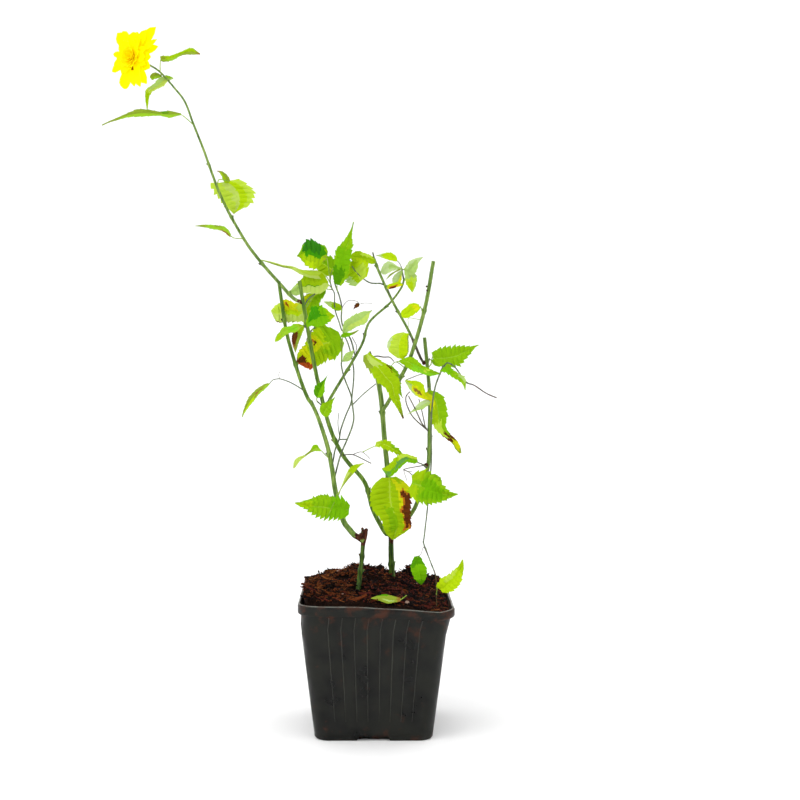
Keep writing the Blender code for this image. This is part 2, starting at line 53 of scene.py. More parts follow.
def addNode(tree, kind, values=None, links=None, settings=None):
    node = tree.nodes.new(kind)
    for key, value in (settings or {}).items():
        setattr(node, key, value)
    for key, value in (values or {}).items():
        node.inputs[key].default_value = value
    for key, source in (links or {}).items():
        tree.links.new(source, node.inputs[key])
    return node


def newMaterial(name, colour, values):
    made = bpy.data.materials.new(name)
    made.use_nodes = True
    shader = made.node_tree.nodes["Principled BSDF"]
    shader.inputs["Base Color"].default_value = linear(colour)
    for key, value in values.items():
        shader.inputs[key].default_value = value
    return made, made.node_tree, shader


def perMetre(size):  # a texture's scale for a pattern whose cells are this many millimetres wide
    return 1 / (size * mm)


def leafMaterial(name, colour, roughness, glow=0.0):
    # Living leaf: a thin waxy skin over soft tissue, nearly matte, with a fine net of veins in its surface.
    # A petal also has a weak glow of its own colour, for the light that comes through it.
    made, tree, shader = newMaterial(name, colour, {
        "Specular IOR Level": 0.04, "IOR": 1.42, "Emission Color": linear(colour), "Emission Strength": glow,
        "Subsurface Weight": 0.1, "Subsurface Scale": 0.0012, "Subsurface Radius": (0.6, 1.0, 0.25)})
    where = addNode(tree, "ShaderNodeTexCoord").outputs["Object"]
    net = addNode(tree, "ShaderNodeTexVoronoi", {"Scale": perMetre(0.9)}, {"Vector": where},
                  {"feature": "DISTANCE_TO_EDGE"})  # net veins, 0.9 mm apart
    grain = addNode(tree, "ShaderNodeTexNoise", {"Scale": perMetre(2.5), "Detail": 3.0}, {"Vector": where})
    both = addNode(tree, "ShaderNodeMath", {}, {0: net.outputs["Distance"], 1: grain.outputs["Fac"]},
                   {"operation": "ADD"})
    bump = addNode(tree, "ShaderNodeBump", {"Strength": 0.6, "Distance": 0.16 * mm},
                   {"Height": both.outputs[0]})
    dull = addNode(tree, "ShaderNodeMapRange", {"To Min": roughness - 0.08, "To Max": roughness + 0.12},
                   {"Value": grain.outputs["Fac"]})
    tree.links.new(bump.outputs["Normal"], shader.inputs["Normal"])
    tree.links.new(dull.outputs["Result"], shader.inputs["Roughness"])
    return made


def barkMaterial(name, shade, base, streak, roughness):
    # Young kerria bark: smooth green skin, faintly streaked along the cane and duller in patches
    made, tree, shader = newMaterial(name, base, {"Roughness": roughness, "Specular IOR Level": 0.12})
    where = addNode(tree, "ShaderNodeTexCoord").outputs["Object"]
    drawn = addNode(tree, "ShaderNodeMapping", {"Scale": (1.0, 1.0, 0.08)}, {"Vector": where})
    fine = addNode(tree, "ShaderNodeTexNoise", {"Scale": perMetre(1.1), "Detail": 4.0},
                   {"Vector": drawn.outputs["Vector"]})  # streaks 1 mm wide and a dozen long
    ramp = addNode(tree, "ShaderNodeValToRGB", {}, {"Fac": fine.outputs["Fac"]})
    for stop, place, code in zip(range(3), (0.36, 0.5, 0.68), (shade, base, streak)):
        element = ramp.color_ramp.elements[0] if stop == 0 else ramp.color_ramp.elements.new(place)
        element.position = place
        element.color = linear(code)
    ramp.color_ramp.elements.remove(ramp.color_ramp.elements[-1])
    bump = addNode(tree, "ShaderNodeBump", {"Strength": 0.4, "Distance": 0.1 * mm},
                   {"Height": fine.outputs["Fac"]})
    tree.links.new(ramp.outputs["Color"], shader.inputs["Base Color"])
    tree.links.new(bump.outputs["Normal"], shader.inputs["Normal"])
    return made


def potMaterial(name, dark, light, shine):
    # Recycled polypropylene, blow-moulded: nearly black with a low uneven sheen and paler clouds, and brown
    # where wet soil is smeared on it, most of all at the rim and the foot
    made, tree, shader = newMaterial(name, dark, {"Specular IOR Level": shine})
    where = addNode(tree, "ShaderNodeTexCoord").outputs["Object"]
    parts = addNode(tree, "ShaderNodeSeparateXYZ", {}, {"Vector": where})
    smear = addNode(tree, "ShaderNodeTexNoise", {"Scale": perMetre(9), "Detail": 6.0, "Roughness": 0.65},
                    {"Vector": where})  # smears about 9 mm across
    fromMiddle = addNode(tree, "ShaderNodeMath", {1: 36 * mm}, {0: parts.outputs["Z"]},
                         {"operation": "SUBTRACT"})
    far = addNode(tree, "ShaderNodeMath", {}, {0: fromMiddle.outputs[0]}, {"operation": "ABSOLUTE"})
    high = addNode(tree, "ShaderNodeMapRange", {"From Min": 8 * mm, "From Max": 46 * mm, "To Min": -0.12,
                                                "To Max": 0.05}, {"Value": far.outputs[0]})
    much = addNode(tree, "ShaderNodeMath", {}, {0: smear.outputs["Fac"], 1: high.outputs["Result"]},
                   {"operation": "ADD"})
    mask = addNode(tree, "ShaderNodeMapRange", {"From Min": 0.53, "From Max": 0.68, "To Max": 0.8},
                   {"Value": much.outputs[0]})
    cloud = addNode(tree, "ShaderNodeTexNoise", {"Scale": perMetre(14), "Detail": 5.0}, {"Vector": where})
    patchy = addNode(tree, "ShaderNodeMapRange", {"From Min": 0.38, "From Max": 0.6},
                     {"Value": cloud.outputs["Fac"]})
    plain = addNode(tree, "ShaderNodeMix", {6: linear(dark), 7: linear(light)},
                    {0: patchy.outputs["Result"]}, {"data_type": "RGBA"})
    dirty = addNode(tree, "ShaderNodeMix", {7: linear("#44210f")},
                    {0: mask.outputs["Result"], 6: plain.outputs[2]}, {"data_type": "RGBA"})
    fine = addNode(tree, "ShaderNodeTexNoise", {"Scale": perMetre(0.9), "Detail": 3.0}, {"Vector": where})
    bump = addNode(tree, "ShaderNodeBump", {"Strength": 0.35, "Distance": 0.12 * mm},
                   {"Height": fine.outputs["Fac"]})
    dull = addNode(tree, "ShaderNodeMapRange", {"From Min": 0.35, "From Max": 0.65, "To Min": 0.26,
                                                "To Max": 0.6}, {"Value": cloud.outputs["Fac"]})
    tree.links.new(dirty.outputs[2], shader.inputs["Base Color"])
    tree.links.new(dull.outputs["Result"], shader.inputs["Roughness"])
    tree.links.new(bump.outputs["Normal"], shader.inputs["Normal"])
    return made


def soilMaterial(name, dark, light, cell):
    # Bark and coir compost, moist: matte, nearly black in the gaps and rust-brown on the shreds
    made, tree, shader = newMaterial(name, dark, {"Roughness": 0.9, "Specular IOR Level": 0.06})
    where = addNode(tree, "ShaderNodeTexCoord").outputs["Object"]
    crumb = addNode(tree, "ShaderNodeTexNoise", {"Scale": perMetre(cell), "Detail": 5.0, "Roughness": 0.7},
                    {"Vector": where})
    spread = addNode(tree, "ShaderNodeMapRange", {"From Min": 0.35, "From Max": 0.7},
                     {"Value": crumb.outputs["Fac"]})
    colour = addNode(tree, "ShaderNodeMix", {6: linear(dark), 7: linear(light)},
                     {0: spread.outputs["Result"]}, {"data_type": "RGBA"})
    bump = addNode(tree, "ShaderNodeBump", {"Strength": 0.8, "Distance": 0.5 * mm},
                   {"Height": crumb.outputs["Fac"]})
    tree.links.new(colour.outputs[2], shader.inputs["Base Color"])
    tree.links.new(bump.outputs["Normal"], shader.inputs["Normal"])
    return made


# Leaf tints are plain colours dealt out by leaf, half leaf or patch: (colour, roughness, glow)
leafTints = {
    "fresh": ("#80ad0a", 0.5), "lime": ("#95b60a", 0.5), "sun": ("#b1cc3c", 0.52), "mid": ("#4f8c04", 0.48),
    "deep": ("#2f7414", 0.45), "grass": ("#3f8f08", 0.45), "vivid": ("#6ea806", 0.5),
    "pale": ("#a3c068", 0.55), "faint": ("#b4c98c", 0.6), "acid": ("#aac80c", 0.5),
    "yellow": ("#c6cc10", 0.5), "straw": ("#b2c85c", 0.55), "amber": ("#b8701b", 0.6),
    "flame": ("#a8431a", 0.6), "brown": ("#5c2b10", 0.7), "tan": ("#8a6a2c", 0.65),
    "olive": ("#85992e", 0.5), "rib": ("#8fb72a", 0.5), "ribLime": ("#a8c234", 0.5),
    "teal": ("#5d9040", 0.5), "sprig": ("#80bc20", 0.5), "petal": ("#fff000", 0.5, 0.13),
    # The two orange petal tints are painted shade, deeper towards the flower's heart
    "petalShade": ("#fbe000", 0.55, 0.1), "petalHeartShade": ("#edb200", 0.6, 0.06),
    "petalSpeck": ("#8f5c06", 0.7),
}
leafFinish = {name: leafMaterial(("petalSkin_" if "petal" in name else "leafBlade_") + name, *values)
              for name, values in leafTints.items()}
tintOrder = list(leafTints)
caneBark = barkMaterial("kerriaBarkGreen", "#4b672b", "#69863b", "#8ca24e", 0.45)
footBark = barkMaterial("kerriaBarkOld", "#1f3616", "#314810", "#516c24", 0.45)
lushBark = barkMaterial("kerriaBarkLush", "#40621f", "#5a7a2a", "#7f9c40", 0.45)
scarBark = barkMaterial("corkyScar", "#1d0d08", "#3b1b12", "#5e3522", 0.8)
twigBark = barkMaterial("twigBarkGrey", "#414d33", "#59674a", "#7a8863", 0.6)
deadBark = barkMaterial("deadTwigBark", "#35302a", "#55503f", "#757059", 0.7)
stalkSkin = barkMaterial("leafStalkSkin", "#6d8c2a", "#86a636", "#a5bd55", 0.5)
pith = soilMaterial("driedPith", "#3a2c1c", "#6b5a3c", 0.6)
potPlastic = potMaterial("polypropyleneMoulded", "#050604", "#181914", 0.2)
# A pale grey plastic for the rim's top faces: a painted highlight along the rim's edge
rimHighlightPlastic = potMaterial("polypropyleneRimHighlight", "#5a5b54", "#72736a", 0.4)
# A paler plastic for the ribs on the walls: painted highlights down the ribs
ribHighlightPlastic = potMaterial("polypropyleneRibHighlight", "#22231f", "#36372f", 0.35)
compost = soilMaterial("compostDark", "#0a0605", "#24140c", 1.6)
shreds = [soilMaterial("barkShredDark", "#150b08", "#2e1a10", 1.0),
          soilMaterial("barkShredRust", "#42200f", "#70371a", 1.0),
          soilMaterial("coirFibreTan", "#7a4220", "#a66a38", 1.0),
          soilMaterial("charredBark", "#080606", "#181013", 1.0),
          soilMaterial("barkShredRed", "#3a1410", "#5e2a20", 1.0)]
stone = soilMaterial("quartzGrit", "#82675a", "#b59a8c", 0.8)
print("materials made")


# Lines, tubes and joined meshes

def smoothLine(points, step):  # points about one step apart on a smooth curve through the given ones
    points = [Vector(p) for p in points]
    ends = [2 * points[0] - points[1], *points, 2 * points[-1] - points[-2]]
    line = [points[0]]
    for a, b, c, d in zip(ends, ends[1:], ends[2:], ends[3:]):
        count = max(1, round((c - b).length / step))
        for i in range(1, count + 1):
            t = i / count
            line.append(0.5 * (2 * b + (c - a) * t + (2 * a - 5 * b + 4 * c - d) * t * t
                               + (3 * b - a - 3 * c + d) * t ** 3))
    return line


def aheadAt(line, i):  # the way that a line goes at one of its points
    return (line[min(i + 1, len(line) - 1)] - line[max(i - 1, 0)]).normalized()


def newBatch():
    return {"points": [], "faces": [], "slots": []}


def addTo(batch, points, faces, slots):
    start = len(batch["points"])
    batch["points"] += points
    batch["faces"] += [tuple(i + start for i in face) for face in faces]
    batch["slots"] += slots


def addTube(batch, line, radii, sides, slot):
    # A closed tube around the line, with a radius for each of its points or a pair for its two ends
    if isinstance(radii, tuple):
        first, last = radii
        radii = [first + (last - first) * i / (len(line) - 1) for i in range(len(line))]
    points, faces = [], []
    side = None
    for i, point in enumerate(line):
        ahead = aheadAt(line, i)
        side = ahead.orthogonal() if side is None else side
        side = (side - ahead * side.dot(ahead)).normalized()
        other = ahead.cross(side)
        points += [point + radii[i] * (math.cos(a) * side + math.sin(a) * other)
                   for a in (2 * math.pi * k / sides for k in range(sides))]
    for i in range(len(line) - 1):
        for k in range(sides):
            a, b = i * sides + k, i * sides + (k + 1) % sides
            faces.append((a, b, b + sides, a + sides))
    last = (len(line) - 1) * sides
    faces += [tuple(reversed(range(sides))), tuple(range(last, last + sides))]
    addTo(batch, points, faces, [slot] * len(faces))


def meshPiece(name, batch, materials, nodes, angle=40):
    mesh = bpy.data.meshes.new(name)
    mesh.from_pydata([tuple(p * mm) for p in batch["points"]], [], batch["faces"])
    for made in materials:
        mesh.materials.append(made)
    mesh.polygons.foreach_set("material_index", batch["slots"])
    mesh.shade_smooth()
    mesh.set_sharp_from_angle(angle=math.radians(angle))
    mesh.update()
    piece = bpy.data.objects.new(name, mesh)
    bpy.context.scene.collection.objects.link(piece)
    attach(piece, "root")
    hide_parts(*nodes)
    return piece


def pointing(heading, lean):  # heading in the plane seen from the front, lean towards the viewer, in degrees
    h, v = math.radians(heading), math.radians(lean)
    return Vector((math.cos(h) * math.cos(v), -math.sin(v), math.sin(h) * math.cos(v)))


def faceOf(along, turn):  # out of a blade's upper side: turn 0 faces the viewer, a positive one tilts it up
    front = Vector((0.0, -1.0, 0.0))
    front = (front - along * front.dot(along)).normalized()
    up = along.cross(front)
    if up.z < -0.05 or (abs(up.z) <= 0.05 and up.x < 0):
        up = -up
    angle = math.radians(turn)
    return (front * math.cos(angle) + up * math.sin(angle)).normalized()


# Pot

# The edges are steps of the pot's profile: how far in, and how far up or down. What comes after softFrom, the
# height where the wall starts to bend, is how far the soft pot is out of true; frontRim is (x, rise) rows.
potForm = {"height": 82.0, "rimSide": 92.4, "footSide": 70.0, "corner": 9.0, "band": 6.0, "step": 1.5,
           "wall": 1.2, "floor": 2.6, "footEdge": (0.8, 1.2), "bandEdge": ((0.5, 0.3), (0.05, 1.0)),
           "rimEdge": ((0, 1.2), (0.3, 0.35), (0.8, 0)), "innerEdge": ((0.1, 0.1), (0.5, 0.8)),
           "ribPitch": 7.8, "ribs": 8, "ribWide": 0.7, "ribHigh": 0.3, "ribFoot": 9.0,
           "archWide": 19.6, "archHigh": 3.4, "archDeep": 9.0, "drainHole": 6.0, "drainAt": 17.0,
           "softFrom": 45, "left": 2.3, "lean": 0.5, "rimShift": 1.5, "sagRight": 2.4, "sagBack": 0.8,
           "sagLeft": 1.6, "pinch": 3.8, "wave": 0.5,
           "frontRim": ((-47, 1.9), (-12, 1.1), (-1, 0.6), (17, -0.4), (38, -1.6), (43, -1.0), (47, 0.2))}


def wallHalf(z):
    top = potForm["rimSide"] - 2 * potForm["step"]
    return (potForm["footSide"] + (top - potForm["footSide"]) * z / potForm["height"]) / 2


def valueAt(rows, place):  # on the broken line through (place, value) rows
    for (a, low), (b, high) in zip(rows, rows[1:]):
        if place <= b:
            return low + (high - low) * max(0.0, place - a) / (b - a)
    return rows[-1][1]


def warped(p):  # the soft pot stands a little left of its middle, and its rim is pushed and sags to the right
    soft = potForm["softFrom"]
    high = max(0.0, (p.z - soft) / (potForm["height"] - soft)) ** 2
    front = min(1.0, max(0.0, 0.5 - p.y / 92))
    right = min(1.0, max(0.0, (p.x - 5) / 38))
    left = min(1.0, max(0.0, (-15 - p.x) / 25))
    wave = high * potForm["wave"] * noise.noise(Vector((p.x, p.y, 0)) * 0.045 + Vector((3, 1, 0)))
    sag = high * right * (potForm["sagRight"] * math.sin(math.pi * front) + potForm["sagBack"] * (1 - front))
    sag += high * left * (1 - front) * potForm["sagLeft"]
    inward = high * right * (1 - front) * potForm["pinch"]
    rimShift = potForm["rimShift"] * min(1.0, max(0.0, (p.z - 73) / 3))
    lifted = high * front * valueAt(potForm["frontRim"], p.x)
    x = p.x - potForm["left"] + potForm["lean"] * p.z / potForm["height"] - inward + rimShift
    return Vector((x, p.y, p.z + lifted - sag + wave))


def deselect():
    for thing in bpy.context.selected_objects:
        thing.select_set(False)


def makePot():
    deselect()
    inset, lift = potForm["footEdge"]
    half = wallHalf(0) - inset
    bpy.ops.mesh.primitive_plane_add(size=2 * half * mm)
    pot = bpy.context.object
    pot.name = "pot_shell"
    bpy.ops.object.mode_set(mode="EDIT")
    bpy.ops.mesh.select_all(action="SELECT")
    bpy.ops.mesh.bevel(offset=(potForm["corner"] - 1) * mm, segments=7, affect="VERTICES")
    bpy.ops.object.mode_set(mode="OBJECT")
    longest = max((pot.data.vertices[e.vertices[0]].co - pot.data.vertices[e.vertices[1]].co).length
                  for e in pot.data.edges)
    for edge in pot.data.edges:
        ends = [pot.data.vertices[i].co for i in edge.vertices]
        edge.select = (ends[0] - ends[1]).length > longest * 0.9
    for kind in (pot.data.vertices, pot.data.polygons):
        for item in kind:
            item.select = False
    bpy.ops.object.mode_set(mode="EDIT")
    bpy.ops.mesh.select_mode(type="EDGE")
    bpy.ops.mesh.subdivide(number_cuts=17)
    bpy.ops.mesh.select_mode(type="FACE")
    bpy.ops.mesh.select_all(action="SELECT")
    height, rim, wall = potForm["height"], potForm["rimSide"] / 2, potForm["wall"]
    band = height - potForm["band"]
    outer = [(wallHalf(lift), lift)] + [(wallHalf(z), z) for z in range(8, 72, 8)] + [(wallHalf(band), band)]
    outer += [(rim - back, band + up) for back, up in potForm["bandEdge"]]
    outer += [(rim - back, height - down) for back, down in potForm["rimEdge"]]
    inner = [(rim - wall - back, height - down) for back, down in potForm["innerEdge"]]
    inner += [(wallHalf(band) - wall, band - 1.0)]
    inner += [(wallHalf(z) - wall, z) for z in range(64, 8, -8)] + [(wallHalf(3) - wall, potForm["floor"])]
    reached = 0.0
    for nextHalf, z in outer + inner:
        bpy.ops.mesh.extrude_region_move(TRANSFORM_OT_translate={"value": (0, 0, (z - reached) * mm)})
        size = nextHalf / half
        bpy.ops.transform.resize(value=(size, size, 1), center_override=(0, 0, z * mm))
        half, reached = nextHalf, z
    bpy.ops.mesh.select_all(action="SELECT")
    bpy.ops.mesh.normals_make_consistent(inside=False)
    bpy.ops.object.mode_set(mode="OBJECT")
    cutters = []
    arch = Vector((potForm["archDeep"], potForm["archWide"], 2 * potForm["archHigh"]))
    for k in range(4):
        angle = math.pi / 2 * k
        out = Vector((math.cos(angle), math.sin(angle), 0)) * potForm["footSide"] / 2
        bpy.ops.mesh.primitive_cube_add(size=1, location=out * mm, rotation=(0, 0, angle), scale=arch * mm)
        for vert in bpy.context.object.data.vertices:  # a flat arch has sloping ends
            vert.co.y *= 0.86 if vert.co.z > 0 else 1.14
        cutters.append(bpy.context.object)
        hole = Vector((math.cos(angle + math.pi / 4), math.sin(angle + math.pi / 4), 0)) * 1.41
        bpy.ops.mesh.primitive_cylinder_add(vertices=32, radius=potForm["drainHole"] / 2 * mm, depth=12 * mm,
                                            location=hole * potForm["drainAt"] * mm)
        cutters.append(bpy.context.object)
    bpy.context.view_layer.objects.active = pot
    for cutter in cutters:
        cut = pot.modifiers.new("cut", "BOOLEAN")
        cut.operation = "DIFFERENCE"
        cut.object = cutter
        bpy.ops.object.modifier_apply(modifier=cut.name)
        bpy.data.objects.remove(cutter)
    # The faces on the rim's top, which take the pale plastic of the painted rim highlight
    rimHighlightFaces = [f.index for f in pot.data.polygons if f.center.z > (height - 0.28) * mm]
    for vert in pot.data.vertices:
        vert.co = warped(vert.co / mm) * mm
    pot.data.materials.append(potPlastic)
    pot.data.materials.append(rimHighlightPlastic)
    for i in rimHighlightFaces:
        pot.data.polygons[i].material_index = 1
    pot.data.shade_smooth()
    pot.data.set_sharp_from_angle(angle=math.radians(38))
    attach(pot, "root")
    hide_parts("pot")


def makeRibs():  # thin raised ribs down each wall from under the band, fading out above the foot, in a paler plastic that is a painted highlight along them
    batch = newBatch()
    steps = (12, 18, 26, 34, 42, 50, 60, 68, 75.4)
    for turn in range(4):
        c, s = round(math.cos(turn * math.pi / 2)), round(math.sin(turn * math.pi / 2))
        for k in range(potForm["ribs"]):
            place = (k - (potForm["ribs"] - 1) / 2) * potForm["ribPitch"]
            points, faces = [], []
            for z in steps:
                size = wallHalf(z) / wallHalf(75)
                high = potForm["ribHigh"] * (0.1 + 0.9 * min(1.0, (z - potForm["ribFoot"]) / 22))
                wide = potForm["ribWide"] / 2 * (0.3 + 0.7 * min(1.0, (z - potForm["ribFoot"]) / 22))
                for across, out in ((-wide, -0.25), (-wide * 0.4, high), (wide * 0.4, high), (wide, -0.25)):
                    x, y = place * size + across, -wallHalf(z) - out
                    points.append(warped(Vector((x * c - y * s, x * s + y * c, z))))
            for i in range(len(steps) - 1):
                for j in range(4):
                    a, b = i * 4 + j, i * 4 + (j + 1) % 4
                    faces.append((a, a + 4, b + 4, b))
            last = 4 * len(steps) - 4
            faces += [(0, 1, 2, 3), (last + 3, last + 2, last + 1, last)]
            addTo(batch, points, faces, [0] * len(faces))
    meshPiece("pot_ribs", batch, [ribHighlightPlastic], [], 60)


makePot()
makeRibs()
print("pot made")


# Soil

soilForm = {"edge": 83.5, "mound": 8.0, "at": (-12.0, 8.0), "reach": 34.0, "sink": 7.0, "leftRise": 1.5,
            "slump": 2.6, "crumbs": ((0.11, 1.3), (0.25, 1.2), (0.6, 0.9)), "cells": 100, "highest": 95.5,
            "shreds": 3200, "spread": 43.5, "shred": ((1.5, 7), (0.3, 1.2)), "fibre": ((3, 11), (0.12, 0.32))}
# Humps and hollows of the compost: (x, y), height, reach
soilHumps = (((-9, 22), 3.0, 10), ((2, 23), 3.4, 2.6), ((24, 38), 6.4, 7), ((-38, 18), -2.5, 5),
             ((-44, -29), 5.5, 9), ((-42, 42), -5.0, 12), ((-46, -12), 2.0, 8), ((-19, -3), -2.4, 4.5),
             ((-29, -19), -2.2, 4.5), ((-11, -19), -2.4, 4), ((-4, -8), -1.5, 4), ((12, 8), 1.2, 6),
             ((-44, -46), -2.5, 7))


def soilHeight(x, y):  # the source's mound
    away = math.hypot(x - soilForm["at"][0], y - soilForm["at"][1]) / soilForm["reach"]
    mound = soilForm["mound"] * math.exp(-away * away)
    return soilForm["edge"] + mound + soilForm["leftRise"] * max(0.0, -x) / 43


def soilTop(x, y):  # the mound with the humps, hollows and crumbs of loose compost
    high = soilHeight(x, y)
    for pitch, tall in soilForm["crumbs"]:
        high += tall * noise.noise(Vector((x, y, 0)) * pitch)
    for (a, b), rise, reach in soilHumps:
        high += rise * math.exp(-((x - a) ** 2 + (y - b) ** 2) / reach ** 2)
    right = min(1.0, max(0.0, (x - 22) / 20))
    high -= soilForm["slump"] * right * right * (3 - 2 * right) * (1 if y < 28 else max(0.0, (38 - y) / 10))
    edge = max(x, abs(y) if x > -30 else 0)
    return min(high, soilForm["highest"]) - max(0.0, edge - 39) * 0.3


def onSoil(x, y):
    return Vector((x, y, soilHeight(x, y) - soilForm["sink"]))


def makeSoil():
    deselect()
    cells, half = soilForm["cells"], potForm["rimSide"] / 2 - potForm["wall"] - 1.2
    bpy.ops.mesh.primitive_grid_add(x_subdivisions=cells, y_subdivisions=cells, size=2 * half * mm)
    soil = bpy.context.object
    soil.name = "soil_body"
    for vert in soil.data.vertices:
        u, v = vert.co.x / mm / half, vert.co.y / mm / half
        pull = 1.0 - 0.075 * (u * v) ** 4
        x, y = u * pull * half, v * pull * half
        vert.co = warped(Vector((x, y, soilTop(x, y)))) * mm
    bpy.ops.object.mode_set(mode="EDIT")
    bpy.ops.mesh.select_all(action="SELECT")
    bpy.ops.mesh.region_to_loop()
    for z, size in ((76.0, 0.975), (4.0, 0.79)):
        bpy.ops.mesh.extrude_edges_move()
        bpy.ops.transform.resize(value=(size, size, 0), center_override=(-2 * mm, 0, z * mm))
    bpy.ops.mesh.fill()
    bpy.ops.mesh.select_all(action="SELECT")
    bpy.ops.mesh.normals_make_consistent(inside=False)
    bpy.ops.object.mode_set(mode="OBJECT")
    soil.data.materials.append(compost)
    soil.data.shade_smooth()
    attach(soil, "root")
    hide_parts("soil")


# Larger scraps that the photo shows: (x, y), heading in degrees, length, width, kind. The kind is a place in
# the list of shred materials.
soilScraps = (((-14, -41.5), 2, 18, 2.2, 1), ((-19, -14), 8, 8, 0.9, 2), ((-17, -12), 16, 7, 0.7, 2),
              ((-29, -5), -20, 10, 0.8, 2), ((-33, -6), -35, 8, 0.7, 1), ((-38, -22), 30, 8, 0.6, 2),
              ((-40, -18), -50, 9, 0.6, 2), ((-36, -25), 80, 7, 0.5, 2), ((-42, -28), 65, 9, 0.8, 1),
              ((-25, 10), 12, 6, 1.1, 2), ((-12, 2), 75, 9, 1.2, 1), ((2, 12), 70, 8, 1.4, 1),
              ((4, 8), 40, 7, 0.9, 2), ((22, -32), 25, 9, 2.0, 4), ((28, -36), 10, 8, 1.8, 4),
              ((32, -28), -20, 9, 1.6, 4), ((18, -26), -12, 8, 1.5, 4), ((-6, -30), 5, 9, 1.8, 4),
              ((2, -36), 4, 12, 1.6, 4), ((8, -12), 15, 9, 1.5, 3), ((20, 2), -30, 10, 1.8, 3),
              ((-2, -20), 50, 7, 1.5, 3))
# Pebbles: x, y, radius
soilGrit = ((18.0, -38.6, 1.25), (-20, -30, 0.7), (8, -22, 0.6), (-24, 12, 1.1), (25, 12, 0.8))


def makeShreds():  # bark shreds, coir fibres and crumbs that lie every way on the compost
    dealt = random.Random(5)
    spread = soilForm["spread"]
    batch = newBatch()
    rows = []
    for _ in range(soilForm["shreds"]):
        x, y = dealt.uniform(-spread, spread), dealt.uniform(-spread, spread)
        hollow = sum(rise < 0 and math.hypot(x - a, y - b) < reach * 1.2 for (a, b), rise, reach in soilHumps)
        # In the hollows the shreds are mostly dark and charred ones: painted shade that darkens the hollows
        weights = (3, 1, 0, 9, 0) if hollow else (5, 5, 4, 2, 1) if x < -10 else (5, 1.5, 0.8, 6, 4)
        kind = dealt.choices((0, 1, 2, 3, 4), weights)[0]
        length, wide = (dealt.uniform(*span) for span in soilForm["fibre" if kind == 2 else "shred"])
        rows.append(((x, y), dealt.uniform(0, 360), length, wide, kind))
    for (x, y), heading, length, wide, kind in (*rows, *soilScraps):
        turned = math.radians(heading)
        ahead = Vector((math.cos(turned), math.sin(turned), dealt.gauss(0, 0.22))).normalized()
        bend = dealt.uniform(-0.25, 0.25) * length
        side = Vector((-ahead.y, ahead.x, 0)).normalized()
        base = Vector((x, y, soilTop(x, y) + dealt.uniform(0.0, 0.6)))
        line = [base + ahead * length * (t - 0.5) + side * bend * (t - 0.5) ** 2 for t in (0, 0.33, 0.67, 1)]
        reach = [max(p.x for p in line), -2 - min(p.x for p in line), max(abs(p.y) for p in line) - 0.1]
        if max(reach) > spread or max(p.z for p in line) > 96:
            continue
        for p in line[1:3]:  # a long one follows the ground
            p.z = 0.5 * p.z + 0.5 * (soilTop(p.x, p.y) + 0.2)
        line = [warped(p) for p in line]
        radii = [wide * dealt.uniform(0.25, 0.7), wide * 0.5, wide * 0.5, wide * dealt.uniform(0.1, 0.5)]
        addTube(batch, line, radii, 5, kind)
    meshPiece("soil_shreds", batch, shreds, [], 25)
    grit = newBatch()
    for x, y, size in soilGrit:
        top = warped(Vector((x, y, soilTop(x, y))))
        line = [top + Vector((size * t, 0, size * 0.4)) for t in (-1, -0.7, 0, 0.7, 1)]
        addTube(grit, line, [size * r for r in (0.3, 0.8, 1.0, 0.75, 0.25)], 9, 0)
    meshPiece("soil_grit", grit, [stone], [], 60)


makeSoil()
makeShreds()
print("soil made")


# Canes

# The swelling of a node is a share of the radius, and its reach is along the cane, as the step is
caneForm = {"step": 0.9, "nodeSwell": 0.3, "nodeReach": 1.3, "barkGrain": 2.2, "relief": 0.18}
